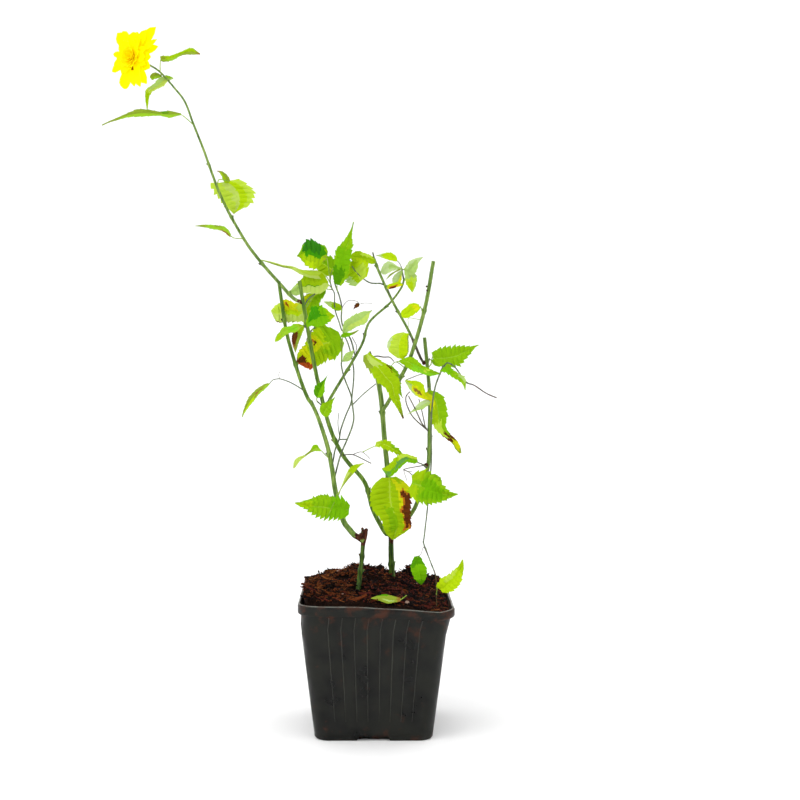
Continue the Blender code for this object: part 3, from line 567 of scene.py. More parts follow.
# Each row: name, what carries it, (share of its length, radius) rows, the shares where it has a node with a
# bud, stretches of brown cork, and the way it goes. A cane that starts on another one grows out of it.
caneRows = (
    ("stem_left_foot", None,
     ((0, 1.6), (0.2, 1.5), (0.72, 1.3), (0.8, 1.4), (0.9, 1.9), (0.97, 2.15), (1, 1.9)), (0.45, 0.64),
     ((0.79, 1.0),),
     ((-11.8, -19, 80), (-11.6, -18, 86), (-11, -15, 91), (-10.4, -14, 96), (-9.6, -14, 102),
      (-9, -14, 108.7), (-8.6, -13.5, 114), (-8.1, -13, 118), (-7.6, -13, 122.5))),
    ("stem_mid_foot", None, ((0, 2.0), (0.8, 1.6), (1, 1.7)), (0.4,), ((0.8, 1.0),),
     (onSoil(9, 13), (8, 12, 102), (8, 11, 117))),
    ("cane_left", "stem_left_foot", ((0, 1.9), (0.06, 1.75), (0.3, 1.6), (1, 1.1)), (0.3, 0.62),
     ((0.0, 0.065),),
     ((-11, -13.5, 118), (-13.7, -13, 119.4), (-16.3, -12.5, 122.3), (-20.5, -12, 128.5), (-25, -9, 145),
      (-27, -7, 158), (-30, -4, 172), (-35, -1, 187), (-39, 1, 196), (-40, 1.5, 198))),
    ("cane_left_side", "cane_left", ((0, 1.2), (1, 1.05)), (0.35, 0.7), (),
     ((-42, 3, 200), (-46, 4, 210), (-51, 5, 226), (-55, 6, 242), (-59, 9, 269))),
    ("cane_mid", "stem_mid_foot", ((0, 1.4), (1, 1.1)), (0.2, 0.42, 0.6, 0.79), (),
     ((4, 10, 117), (-3, 8, 131), (-8, 7, 148), (-20, 6, 163), (-28, 3, 180), (-34, 0, 203), (-39, -2, 228),
      (-46, -4, 270))),
    ("flower_shoot", "cane_mid", ((0, 1.1), (1, 0.65)), (0.09, 0.28, 0.55, 0.8), ((0.0, 0.025),),
     ((-50, -3, 260), (-59, -4, 270), (-70, -6, 283), (-79, -7, 296), (-91, -9, 319), (-101, -11, 347),
      (-104, -12, 355), (-105.5, -12.6, 359))),
    ("curved_side_cane", "cane_mid", ((0, 1.0), (1, 0.6)), (0.3, 0.55, 0.78), (),
     ((-29, 5, 198), (-23, 9, 208), (-15, 12, 221), (-9, 14, 232), (-5, 17, 244), (7, 21, 255),
      (14, 24, 264), (16, 25, 270))),
    ("cane_back", "stem_mid_foot", ((0, 1.6), (1, 1.5)), (0.35, 0.75), (),
     ((8, 12, 123), (6, 18, 151), (4, 20, 172), (2, 22, 196), (-1, 23, 214))),
    ("cane_back_side", "cane_back", ((0, 1.2), (1, 1.15)), (0.3, 0.72), (),
     ((7, 15, 197), (13, 6, 210), (20, -5, 226), (28, -10, 254), (33, -13, 282))),
    ("cane_right", "stem_mid_foot", ((0, 1.3), (1, 1.1)), (0.25, 0.48, 0.72), (),
     ((12, 9, 117), (19, 6, 127), (24, 3, 137), (30, 0, 158), (31, 2, 180), (31, 2, 203), (28, 1, 236))),
    ("cane_right_side", "cane_right", ((0, 0.8), (1, 0.8)), (0.22, 0.5, 0.72, 0.93), ((0.0, 0.03),),
     ((26, 3, 223), (19, 4, 239), (9, 9, 257), (1, 14, 274), (-2, 17, 282))),
    ("thin_shoot", None, ((0, 0.3), (0.2, 0.38), (1, 0.5)), (0.25, 0.45, 0.7), (),
     (onSoil(35, -30), (34.8, -30, 85), (34.7, -29, 92), (34.3, -27, 98), (31.6, -25, 105), (27.4, -22, 116),
      (27.6, -21, 119), (30, -14, 139), (32, -10, 164), (32, -9, 189), (34, -11, 207), (39, -14, 221))),
    ("thin_shoot_tip", "thin_shoot", ((0, 0.45), (1, 0.35)), (0.5,), ((0.55, 1.0),),
     ((41.4, -15, 222.5), (46, -16, 219.6), (52, -17, 211.5), (57, -18, 209.5), (64, -20, 205),
      (70, -21, 202.5))),
)
# Dark knots where a side twig has dried: the cane, the place, its radius
caneKnots = (("cane_right", (29, -1, 159.5), 1.5), ("cane_right", (27.6, -0.5, 221), 1.2),
             ("cane_back_side", (29.6, -11.6, 264.8), 0.9), ("cane_back_side", (29.0, -11.8, 267.2), 0.6),
             ("cane_back", (4.3, 20.0, 192.5), 1.2), ("stem_left_foot", (-9.6, -14.6, 119.6), 1.7),
             ("stem_left_foot", (-6.6, -14, 122.6), 1.2), ("stem_left_foot", (-9, -12, 123), 0.9))


def nearestOn(line, point):
    return min(range(len(line)), key=lambda i: (line[i] - point).length_squared)


def rooted(first, carrier):  # two points to start from, inside the carrier and just outside it
    line, radii = carrier
    first = Vector(first)
    nearest = nearestOn(line, first)
    nearest = max(0, nearest - round(0.8 * (first - line[nearest]).length))  # it leaves at a sharp angle
    out = first - line[nearest]
    reach = min(valueAt(radii, nearest / (len(line) - 1)) + 0.8, out.length * 0.6)
    return [line[nearest], line[nearest] + out.normalized() * reach]


caneSkins = {"stem_left_foot": footBark, "stem_mid_foot": footBark, "cane_left_side": lushBark,
             "cane_mid": lushBark}


def makeCane(name, carrier, radii, nodes, corks, way, carried, buds):
    way = [Vector(p) for p in way]
    if carrier:
        way = rooted(way[0], carried[carrier]) + way
    line = smoothLine(way, caneForm["step"])
    count = len(line) - 1
    deselect()
    bpy.ops.curve.primitive_bezier_curve_add()
    curve = bpy.context.object
    curve.name = name + "_bark"
    data = curve.data
    data.splines.remove(data.splines[0])
    path = data.splines.new("POLY")
    path.points.add(count)
    data.dimensions = "3D"
    data.bevel_depth = mm
    data.bevel_resolution = 3 if radii[0][1] > 0.7 else 1
    data.use_fill_caps = True
    for i, point in enumerate(line):
        share = i / count
        offs = [(share - node) * count * caneForm["step"] / caneForm["nodeReach"] for node in nodes]
        swell = sum(caneForm["nodeSwell"] * math.exp(-off ** 2) for off in offs)
        path.points[i].co = (*(point * mm), 1)
        path.points[i].radius = valueAt(radii, share) * (1 + swell)
    bpy.ops.object.convert(target="MESH")
    cane = bpy.context.object
    mesh = cane.data
    for made in (caneSkins.get(name, caneBark), scarBark, pith, twigBark, deadBark):
        mesh.materials.append(made)
    skin, cork, tan, grey, dead = range(len(mesh.materials))
    for face in mesh.polygons:
        middle = face.center / mm
        share = nearestOn(line, middle) / count
        ragged = share + 3 * noise.noise(middle * 0.5) / count
        face.material_index = cork if any(low <= ragged <= high for low, high in corks) else skin
        if len(face.vertices) > 4 and share > 0.5:  # the cut end
            face.material_index = tan
        if name.startswith("thin_shoot") and face.material_index == skin:
            face.material_index = tan if name == "thin_shoot" and share < 0.17 else grey
        if name == "cane_right_side" and share < 0.26:  # its foot has died
            face.material_index = dead
    bpy.ops.object.modifier_add(type="DISPLACE")
    relief = cane.modifiers[-1]
    relief.texture = bpy.data.textures.get("barkRelief") or bpy.data.textures.new("barkRelief", "CLOUDS")
    relief.texture.noise_scale = caneForm["barkGrain"] * mm
    relief.texture.noise_depth = 2
    relief.strength = caneForm["relief"] * mm
    relief.mid_level = 0.5
    bpy.ops.object.modifier_apply(modifier=relief.name)
    mesh.shade_smooth()
    mesh.set_sharp_from_angle(angle=math.radians(50))
    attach(cane, "root")
    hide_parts(name)
    carried[name] = (smoothLine(way, 1.0), radii)
    for k, node in enumerate(nodes):
        i = min(count - 1, max(1, round(node * count)))
        ahead = aheadAt(line, i)
        side = ahead.cross(Vector((0, 1, 0.3))).normalized() * (1 if k % 2 else -1)
        radius = valueAt(radii, node)
        base = line[i] + side * radius * 0.8
        size = min(1.0, radius)
        tip = base + (ahead * 1.6 + side * 1.1) * size
        bud = [base.lerp(tip, t) for t in (0, 0.25, 0.55, 0.8, 1)]
        addTube(buds, bud, [size * r for r in (0.5, 0.62, 0.5, 0.28, 0.06)], 7, 1 if k % 3 == 1 else 0)


carried = {}
budBatch = newBatch()
for row in caneRows:
    makeCane(*row, carried, budBatch)
for cane, place, size in caneKnots:
    line = carried[cane][0]
    i = nearestOn(line, Vector(place))
    ahead = aheadAt(line, i)
    knot = [Vector(place) + ahead * size * t for t in (-1, -0.6, 0, 0.5, 0.9)]
    addTube(budBatch, knot, [size * r for r in (0.35, 0.8, 1.0, 0.8, 0.3)], 8, 1)
meshPiece("cane_buds", budBatch, [caneBark, scarBark], [])
print("canes made")


# Leaves

# The profile is half the width along a blade without an outline of its own. Rows across the blade are (place
# in a tooth, how far out its edge is, how high the blade bulges there). Columns are shares of half the width.
leafForm = {
    "profile": ((0.0, 0.08), (0.03, 0.50), (0.09, 0.82), (0.2, 1.0), (0.32, 0.95), (0.45, 0.74), (0.6, 0.46),
                (0.75, 0.24), (0.9, 0.09), (1.0, 0.012)),
    "toothRows": ((0.0, -1.0, 0.9), (0.26, -0.2, 1.0), (0.46, 0.0, 0.8), (0.74, 0.65, 0.1), (0.86, 1.0, 0.0)),
    "columns": (1.0, 0.9, 0.77, 0.6, 0.42, 0.26, 0.12, 0.045, 0.0),
    "broadColumns": (1.0, 0.94, 0.87, 0.79, 0.7, 0.6, 0.5, 0.4, 0.3, 0.2, 0.11, 0.04, 0.0),
    "outlineAt": (0, 0.06, 0.14, 0.25, 0.38, 0.52, 0.66, 0.8, 0.92, 1),
    "toothPitch": 2.7, "toothDepth": 0.085, "thick": 0.22, "bulge": 0.05, "wave": 0.07, "fold": 0.24,
    "arch": 0.08, "sweep": 0.42, "heart": 0.12, "outlinedSweep": 0.12, "outlinedHeart": 0.25,
}


def profileAt(u, slim):
    share = valueAt(leafForm["profile"], u)
    return share if u < 0.2 else share ** (1 + (slim - 1) * min(1.0, (u - 0.2) / 0.2))


def outlineAt(values, u):  # a measured outline, a little rounded between its places
    rows = list(zip(leafForm["outlineAt"], values))
    return sum(valueAt(rows, u + d) for d in (-0.03, 0.0, 0.03)) / 300


def addLeaf(batch, base, along, face, length, width, lookName, seed):
    dealt = random.Random(seed * 17)
    look = leafLooks[lookName]
    outline = look.get("outline")
    across = face.cross(along)
    teeth = max(4, min(12, round(length / leafForm["toothPitch"])))
    size = [[dealt.uniform(0.55, 1.35) * (1.4 if k % 3 == 1 else 0.9) for k in range(teeth + 1)]
            for _ in ("right", "left")]
    rows = [((k + place) / teeth, out, high, k)
            for k in range(teeth) for place, out, high in leafForm["toothRows"]]
    rows.append((1.0, 0.0, 0.0, teeth))
    columns = leafForm["broadColumns" if width > 11 else "columns"]
    sides = [-c for c in columns] + list(reversed(columns[:-1]))
    sweep = leafForm["outlinedSweep" if outline else "sweep"]
    arch, fold = look.get("arch", leafForm["arch"]), look.get("fold", leafForm["fold"])
    depth, bulge = look.get("teeth", leafForm["toothDepth"]), leafForm["bulge"] * width
    heart = look.get("heart", leafForm["heart"]) * (leafForm["outlinedHeart"] if outline else 1)
    top, low = [], []
    for u, out, high, k in rows:
        grow = min(1.0, u * 6) * min(1.0, (1 - u) * 5)
        middle, half = 0.0, width / 2 * profileAt(u, look.get("slim", 1.0))
        if outline:
            middle, half = (length * outlineAt(values, u) for values in outline)
        for t in sides:
            edge = max(0.0, (abs(t) - 0.55) / 0.45)
            tooth = depth * out * grow * edge * size[t > 0][k]
            x = u * length + (sweep * half * abs(t) + max(tooth, 0) * width * 0.25) * grow
            x -= heart * width / 2 * abs(t) ** 1.5 * max(0.0, 1 - u / 0.22)
            y = half * (1 + tooth) * t + middle
            wave = leafForm["wave"] * width * noise.noise(Vector((u * 3.2, t * 1.3, seed * 7.3)))
            z = fold * abs(t) * half + bulge * high * math.sin(math.pi * min(1, abs(t) * 1.1)) * grow + wave
            z += arch * length * 4 * u * (1 - u)
            point = base + along * min(x, length) + across * y + face * z
            top.append(point)
            low.append(point - face * leafForm["thick"])
    wide, count, shift = len(sides), len(rows), len(top)
    faces, slots = [], []
    for i in range(count - 1):
        u = (rows[i][0] + rows[i + 1][0]) / 2
        for j in range(wide - 1):
            t = (sides[j] + sides[j + 1]) / 2
            a = i * wide + j
            onVein = abs(t) < 0.05 or (rows[i][1] == 0.65 and abs(t) < 0.1 and 0.06 < u < 0.8)
            for shape, upper in (((a, a + wide, a + wide + 1, a + 1), True),
                                 ((a + shift, a + shift + 1, a + shift + wide + 1, a + shift + wide), False)):
                faces.append(shape)
                slots.append(tintAt(look, u, t, onVein, upper, seed))
    rims = [(i * wide + j, wide, flip, i, j) for i in range(count - 1) for j, flip in ((0, 1), (wide - 1, 0))]
    rims += [(i * wide + j, 1, flip, i, j) for i, flip in ((0, 0), (count - 1, 1)) for j in range(wide - 1)]
    for a, step, flip, i, j in rims:
        rim = (a, a + shift, a + shift + step, a + step)
        faces.append(rim if flip else tuple(reversed(rim)))
        slots.append(tintAt(look, rows[i][0], sides[j], False, True, seed))
    addTo(batch, top + low, faces, slots)


def tintAt(look, u, t, onVein, upper, seed):
    spot = Vector((u * 6, t * 3, seed * 3.1))
    ragged = 0.09 * noise.noise(spot) + 0.06 * noise.noise(spot * 2.7)
    for tint, u0, u1, *sides in look.get("patches", ()):
        t0, t1 = sides or (-1.1, 1.1)
        if u0 <= u + ragged <= u1 and t0 <= t + 2 * ragged <= t1:
            return tintOrder.index(tint)
    left, right, under, *vein = look["tints"]
    own = left if t > 0 else right
    return tintOrder.index(under if not upper else vein[0] if onVein and vein else own)


# Looks: the tints left and right of the midrib as seen from the foot, of the underside and of the midrib,
# patches as (tint, from and to along the blade, from and to across it unless it goes all the way), and, for a
# leaf that the photo shows, its outline: how far the middle lies to the left of the line from foot to tip,
# and half the width, in percent of the length, at the places in leafForm.
leafLooks = {
    "fresh": {"tints": ("fresh", "fresh", "pale", "rib")},
    "lime2": {"tints": ("lime", "fresh", "pale", "ribLime")},
    "mid2": {"tints": ("mid", "vivid", "fresh"), "slim": 1.3},
    "pale": {"tints": ("pale", "faint", "pale"), "slim": 1.3},
    "dry": {"tints": ("brown", "brown", "flame"), "teeth": 0.2, "fold": 0.7, "arch": 0.2},
    "bright": {"tints": ("fresh", "fresh", "fresh", "rib"), "teeth": 0.22,
        "patches": (("vivid", -0.1, 0.36, -1.1, 0.9), ("lime", 0.7, 1.1, -0.7, 0.7)),
        "outline": ((-1, 1, -2, 0, 1, 1, 2, 1, 1, 0), (7, 16, 20, 21, 20, 20, 14, 7, 4, 1))},
    "heart": {"tints": ("fresh", "fresh", "pale", "rib"), "heart": 0.5, "teeth": 0.12,
        "patches": (("lime", -0.1, 0.22, 0.3, 1.1), ("lime", -0.1, 0.16, -1.1, -0.2),
                    ("vivid", 0.25, 0.7, -0.7, 0.6)),
        "outline": ((-1, -2, -2, -2, -5, -6, -8, -7, -3, 0), (11, 29, 33, 34, 32, 25, 18, 9, 4, 1))},
    "lime": {"tints": ("acid", "acid", "acid"),
        "patches": (("faint", 0.75, 1.1),),
        "outline": ((0, -5, -6, -8, -8, -7, -5, -3, -1, 0), (4, 13, 15, 18, 19, 16, 12, 7, 3, 1))},
    "acid": {"tints": ("acid", "acid", "acid"), "teeth": 0.05,
        "patches": (("yellow", 0.05, 0.3, -0.6, 0.6),),
        "outline": ((-5, -5, -5, -4, -2, 2, 7, 7, 6, 6), (10, 16, 24, 27, 30, 28, 26, 24, 20, 8))},
    "mid": {"tints": ("vivid", "vivid", "vivid"),
        "patches": (("olive", 0.6, 1.1),),
        "outline": ((0, -2, -4, -5, -8, -9, -9, -6, -2, 0), (4, 8, 13, 13, 11, 8, 6, 5, 3, 1))},
    "centre": {"tints": ("vivid", "vivid", "fresh", "grass"), "teeth": 0.1,
        "patches": (("lime", 0.78, 1.1), ("lime", 0.05, 0.3, 0.8, 1.1), ("grass", 0.1, 0.62, -0.15, 0.95)),
        "outline": ((3, 7, 11, 16, 17, 17, 14, 9, 3, 0), (6, 10, 16, 25, 35, 34, 31, 23, 9, 1))},
    "paleWide": {"tints": ("pale", "pale", "pale"), "teeth": 0.06,
        "patches": (("straw", 0.2, 0.9, -0.75, -0.1),),
        "outline": ((0, 2, 5, 6, 5, 2, -2, 0, 1, 0), (2, 7, 12, 16, 15, 18, 17, 12, 3, 1))},
    "paleLow": {"tints": ("pale", "pale", "pale"), "teeth": 0.05,
        "outline": ((0, -1, -2, -5, -6, -5, -4, -3, -1, 0), (6, 11, 18, 25, 27, 26, 20, 12, 6, 2))},
    "striped": {"tints": ("faint", "faint", "faint"), "teeth": 0.05,
        "patches": (("pale", 0.1, 0.6, -0.4, 0.5),),
        "outline": ((0, -2, -4, -10, -15, -16, -11, -5, -1, 0), (4, 6, 8, 14, 21, 26, 27, 24, 15, 1))},
    "stripedLow": {"tints": ("pale", "faint", "pale"), "teeth": 0.05,
        "patches": (("yellow", 0.3, 1.1, 0.4, 1.1),),
        "outline": ((0, 0, 1, 2, 5, 7, 9, 8, 10, 0), (5, 9, 13, 19, 24, 29, 29, 25, 18, 2))},
    "thread": {"tints": ("olive", "olive", "olive"), "teeth": 0.02,
        "outline": ((0, -1, -1, -3, -4, -5, -5, -3, -1, 0), (5, 5, 5, 4, 4, 5, 5, 4, 2, 1))},
    "paleTip": {"tints": ("pale", "pale", "pale"), "teeth": 0.05,
        "patches": (("faint", 0.7, 1.1), ("faint", 0.1, 1.1, 0.5, 1.1)),
        "outline": ((-14, -15, -17, -14, -11, -7, 1, 1, 0, 0), (18, 22, 27, 30, 28, 23, 13, 9, 4, 1))},
    "paleDrop": {"tints": ("pale", "pale", "pale"),
        "patches": (("acid", 0.5, 0.92, -0.9, 0.3), ("sun", 0.35, 1.1, -1.1, 0.8)),
        "outline": ((0, 4, 8, 11, 10, 8, 6, 5, 3, 0), (3, 10, 17, 24, 27, 25, 20, 14, 7, 1))},
    "ragged": {"tints": ("lime", "lime", "sun", "sun"), "teeth": 0.2,
        "patches": (("sun", -0.1, 0.15), ("fresh", 0.5, 1.1, 0.2, 1.1)),
        "outline": ((6, 9, 12, 15, 14, 11, 6, 4, 1, 0), (9, 10, 12, 16, 17, 15, 11, 11, 7, 1))},
    "olive": {"tints": ("rib", "rib", "rib"),
        "patches": (("tan", 0.0, 0.3, 0.4, 1.1), ("olive", 0.3, 0.5, -1.1, -0.3), ("olive", 0.7, 1.1)),
        "outline": ((0, -4, -9, -12, -10, -7, -6, -4, -2, 0), (3, 8, 8, 8, 7, 7, 5, 4, 2, 1))},
    "curl": {"tints": ("lime", "olive", "lime"),
        "patches": (("tan", 0.85, 1.1),),
        "outline": ((0, 4, 3, 2, -2, -7, -8, -9, -4, 0), (5, 15, 20, 21, 20, 15, 12, 8, 4, 2))},
    "tip": {"tints": ("lime", "rib", "sun"),
        "patches": (("olive", -0.1, 0.14), ("olive", 0.5, 0.9, -1.1, 0.0), ("tan", 0.93, 1.1)),
        "outline": ((4, 1, -1, -3, -1, 4, 7, 8, 4, 0), (5, 9, 8, 7, 7, 5, 7, 10, 5, 1))},
    "bent": {"tints": ("straw", "pale", "lime"),
        "patches": (("lime", 0.55, 1.1), ("sun", 0.5, 0.62)),
        "outline": ((6, 4, 1, 0, -8, -17, -16, -10, -4, 0), (8, 11, 14, 12, 10, 10, 7, 5, 3, 1))},
    "lobeLeft": {"tints": ("rib", "olive", "rib"),
        "outline": ((0, -1, -2, -4, -4, -5, -1, 6, 1, 0), (7, 12, 18, 26, 28, 28, 30, 31, 15, 2))},
    "lobeRight": {"tints": ("rib", "pale", "rib"),
        "outline": ((0, -1, -2, -4, -4, -3, -2, 1, 1, 0), (7, 11, 18, 26, 28, 25, 21, 14, 8, 2))},
    "long": {"tints": ("rib", "olive", "rib"), "arch": 0.02,
        "patches": (("mid", 0.12, 0.2, -1.1, -0.2), ("olive", 0.8, 1.1)),
        "outline": ((0, -1, -1, -4, -7, -9, -8, -5, -3, 0), (1, 3, 6, 3, 5, 6, 3, 2, 1, 1))},
    "broad": {"tints": ("acid", "sun", "lime", "straw"), "arch": -0.02, "teeth": 0.09, "fold": 0.12,
        "patches": (("sun", 0.0, 0.9, 0.55, 1.1), ("straw", -0.1, 1.0, -0.3, 0.1)),
        "outline": ((-15, -9, 0, 9, 16, 18, 19, 16, 6, 0), (41, 50, 55, 55, 56, 50, 43, 32, 13, 1))},
    "dark": {"tints": ("lime", "fresh", "lime", "mid"), "teeth": 0.07,
        "patches": (("deep", 0.2, 0.84, -1.1, -0.22), ("grass", 0.05, 0.7, -0.9, 0.24),
                    ("acid", 0.4, 0.75, 0.55, 0.95), ("olive", -0.1, 0.1, 0.3, 1.1)),
        "outline": ((-8, -16, -14, -4, -5, -10, -12, -13, -5, 0), (10, 23, 29, 40, 46, 48, 43, 29, 9, 1))},
    "upright": {"tints": ("fresh", "fresh", "mid", "rib"), "arch": 0.05, "teeth": 0.12,
        "patches": (("mid", -0.1, 0.26, -0.5, 1.1), ("vivid", 0.2, 0.58, -0.9, 0.8)),
        "outline": ((-2, -2, -2, -3, 0, 1, -2, -1, -1, 0), (4, 9, 12, 13, 13, 13, 8, 3, 1, 1))},
    "streak": {"tints": ("straw", "straw", "straw"), "teeth": 0.04,
        "patches": (("olive", 0.55, 1.1, -0.2, 1.1), ("sun", 0.0, 0.4, -1.1, 0.2)),
        "outline": ((0, 3, 4, 7, 8, 4, 5, 3, 1, 0), (1, 6, 7, 6, 4, 3, 2, 2, 1, 1))},
    "band": {"tints": ("straw", "lime", "straw"), "teeth": 0.05,
        "patches": (("lime", -0.1, 0.65, -1.1, 0.1), ("pale", 0.7, 1.1), ("mid", 0.15, 0.6, 0.08, 0.2)),
        "outline": ((0, -8, -5, -4, -6, -8, -4, 2, 2, 0), (2, 22, 25, 27, 26, 23, 15, 14, 7, 1))},
    "fall": {"tints": ("fresh", "lime", "lime", "fresh"),
        "patches": (("yellow", 0.3, 0.9, -1.1, -0.55),),
        "outline": ((0, 0, -3, -11, -12, -9, -7, -4, -2, 0), (2, 7, 11, 17, 23, 21, 15, 8, 4, 1))},
    "small": {"tints": ("fresh", "lime", "lime"),
        "patches": (("pale", 0.55, 1.1),),
        "outline": ((0, 2, 0, 1, 1, 1, 0, 0, -1, 0), (4, 12, 18, 20, 19, 17, 14, 9, 5, 1))},
    "spotted": {"tints": ("straw", "sun", "straw", "sun"), "teeth": 0.07,
        "patches": (("brown", 0.43, 0.48, -0.75, -0.45), ("brown", 0.76, 0.84, 0.85, 1.1),
                    ("amber", 0.4, 0.52, -0.85, -0.4), ("yellow", 0.2, 0.62, -1.1, -0.1),
                    ("olive", 0.35, 1.1, 0.9, 1.1), ("acid", 0.15, 0.55, -0.1, 0.35)),
        "outline": ((0, 11, 10, 10, 5, 2, 7, 9, 7, 0), (2, 26, 27, 26, 31, 33, 28, 25, 15, 1))},
    "twoGreens": {"tints": ("rib", "rib", "rib"), "teeth": 0.07,
        "patches": (("sprig", 0.12, 0.42, -0.9, 0.7), ("lime", -0.1, 0.3, -1.1, -0.5),
                    ("lime", 0.72, 1.1, -0.6, 0.5)),
        "outline": ((-6, -6, -6, -5, -11, -13, -8, -5, -2, 0), (9, 12, 16, 13, 13, 15, 12, 11, 8, 1))},
    "browned": {"tints": ("olive", "olive", "olive"), "teeth": 0.04,
        "patches": (("lime", -0.1, 0.3), ("brown", 0.3, 0.72, -1.1, 0.15), ("tan", 0.72, 0.86, -1.1, 0.2)),
        "outline": ((-8, -7, -7, -9, -10, -10, -8, -5, -2, 0), (11, 13, 15, 15, 16, 15, 12, 8, 4, 1))},
    "yellow": {"tints": ("lime", "acid", "lime", "ribLime"), "teeth": 0.07,
        "patches": (("brown", 0.44, 0.505, -0.55, -0.2), ("brown", 0.5, 0.58, -1.1, -0.82),
                    ("amber", 0.43, 0.53, -0.86, -0.5), ("fresh", -0.1, 0.26),
                    ("brown", 0.9, 1.1, -1.1, -0.5), ("brown", 0.79, 1.1, -0.55, 0.3),
                    ("flame", 0.74, 1.1, 0.25, 1.1), ("yellow", 0.36, 0.55, -0.9, 0.1),
                    ("yellow", 0.66, 0.82), ("fresh", 0.2, 0.45, 0.35, 0.7)),
        "outline": ((-3, -6, -9, -7, -10, -5, 0, 2, 0, 0), (10, 24, 31, 36, 32, 29, 24, 22, 13, 1))},
    "burnt": {"tints": ("lime", "lime", "lime", "ribLime"), "teeth": 0.04,
        "patches": (("brown", 0.25, 0.82, 0.6, 1.1), ("amber", 0.22, 0.86, 0.52, 1.1),
                    ("yellow", 0.15, 0.95, 0.44, 0.54), ("yellow", 0.05, 0.2, 0.3, 1.1),
                    ("fresh", 0.45, 0.9, -0.5, 0.0)),
        "outline": ((0, 0, 0, -1, -1, 1, 6, 8, 3, 0), (9, 23, 31, 33, 33, 29, 23, 23, 13, 1))},
    "hanging": {"tints": ("lime", "lime", "fresh", "ribLime"), "teeth": 0.08,
        "patches": (("brown", 0.95, 1.1), ("olive", 0.86, 0.96), ("brown", 0.27, 0.36, 0.78, 1.1),
                    ("olive", -0.1, 0.19, -1.1, -0.25), ("straw", 0.02, 0.2, -0.25, 0.6)),
        "outline": ((-3, -5, -2, 2, 4, 8, 3, 2, 1, 0), (4, 8, 10, 13, 13, 11, 7, 4, 2, 1))},
    "droop": {"tints": ("fresh", "lime", "fresh", "rib"), "teeth": 0.1,
        "patches": (("brown", 0.66, 0.77), ("yellow", 0.77, 0.95, -0.6, 1.1), ("olive", 0.77, 1.1),
                    ("yellow", -0.1, 0.22, -1.1, -0.2), ("sun", 0.42, 0.66, -1.1, 0.3)),
        "outline": ((-2, 2, 4, 1, -4, -9, -6, 0, 0, 0), (3, 9, 11, 12, 13, 7, 5, 4, 4, 1))},
    "spot": {"tints": ("acid", "yellow", "yellow"), "teeth": 0.04,
        "patches": (("brown", 0.12, 0.62, -1.1, -0.25), ("amber", 0.1, 0.7, -0.4, 0.1)),
        "outline": ((0, -1, 2, 2, 2, 4, 5, 4, 6, 0), (5, 13, 16, 17, 17, 16, 16, 16, 12, 2))},
    "tanned": {"tints": ("acid", "pale", "lime"), "teeth": 0.04,
        "patches": (("tan", 0.38, 0.66, -0.55, -0.05), ("yellow", 0.6, 1.1, -1.1, 0.6),
                    ("yellow", 0.3, 0.7, -0.8, 0.1)),
        "outline": ((0, -1, 0, 2, 3, 2, -2, -4, -2, 0), (3, 5, 10, 17, 21, 22, 15, 9, 5, 1))},
    "smooth": {"tints": ("acid", "sun", "sun", "sun"), "teeth": 0.02,
        "patches": (("olive", 0.1, 0.9, 0.82, 1.1), ("faint", 0.2, 0.8, -1.1, -0.8)),
        "outline": ((-5, -16, -21, -24, -24, -24, -21, -18, -14, -8),
                    (8, 21, 29, 35, 40, 43, 42, 35, 23, 9))},
    "narrow": {"tints": ("straw", "olive", "lime"), "teeth": 0.04,
        "patches": (("lime", 0.62, 0.9),),
        "outline": ((0, 1, 3, 4, 6, 8, 9, 9, 5, 0), (2, 2, 1, 2, 4, 6, 8, 7, 3, 1))},
    "sickle": {"tints": ("rib", "olive", "rib", "rib"),
        "patches": (("tan", 0.2, 0.4, -0.1, 0.4), ("acid", 0.45, 0.9, 0.0, 0.8)),
        "outline": ((0, -3, -4, -7, -8, -8, -7, -5, -3, 0), (2, 5, 6, 7, 7, 8, 6, 4, 2, 1))},
    "twisted": {"tints": ("rib", "fresh", "rib"), "teeth": 0.05,
        "patches": (("olive", 0.22, 0.5), ("straw", 0.5, 1.1)),
        "outline": ((-9, -13, -16, -14, -13, -12, -14, -12, -6, 0), (11, 13, 10, 4, 3, 3, 6, 8, 7, 1))},
    "slender": {"tints": ("fresh", "fresh", "fresh", "rib"),
        "patches": (("sun", 0.62, 0.7, -0.4, 0.6), ("sprig", 0.3, 0.9, -1.1, 0.2)),
        "outline": ((0, 1, 3, 2, -2, -5, -6, -6, -2, 0), (2, 6, 11, 15, 14, 9, 9, 7, 3, 1))},
    "oval": {"tints": ("vivid", "vivid", "vivid"), "teeth": 0.06,
        "patches": (("mid", 0.0, 0.3), ("mid", 0.8, 1.1)),
        "outline": ((-4, -2, -5, -6, -3, -2, -1, 0, 0, 0), (7, 14, 19, 24, 27, 25, 22, 16, 9, 1))},
    "sprout": {"tints": ("acid", "acid", "lime"), "teeth": 0.1,
        "patches": (("sun", 0.3, 0.7, 0.3, 1.1), ("lime", 0.75, 1.1)),
        "outline": ((-8, -11, -14, -15, -18, -20, -16, -13, -7, 0), (10, 17, 21, 23, 21, 19, 14, 9, 6, 1))},
    "toothed": {"tints": ("fresh", "fresh", "fresh"), "teeth": 0.16,
        "patches": (("vivid", -0.1, 0.3), ("pale", 0.5, 0.85, 0.1, 1.1), ("rib", 0.75, 1.1)),
        "outline": ((4, 10, 13, 15, 15, 17, 20, 18, 9, 0), (7, 12, 11, 11, 11, 11, 11, 9, 5, 1))},
    "rightTop": {"tints": ("fresh", "fresh", "fresh", "rib"), "teeth": 0.12,
        "outline": ((2, -6, -8, -10, -12, -12, -8, -6, -1, 0), (6, 16, 21, 23, 23, 20, 14, 7, 2, 1))},
    "folded": {"tints": ("vivid", "lime", "fresh", "teal"), "teeth": 0.1,
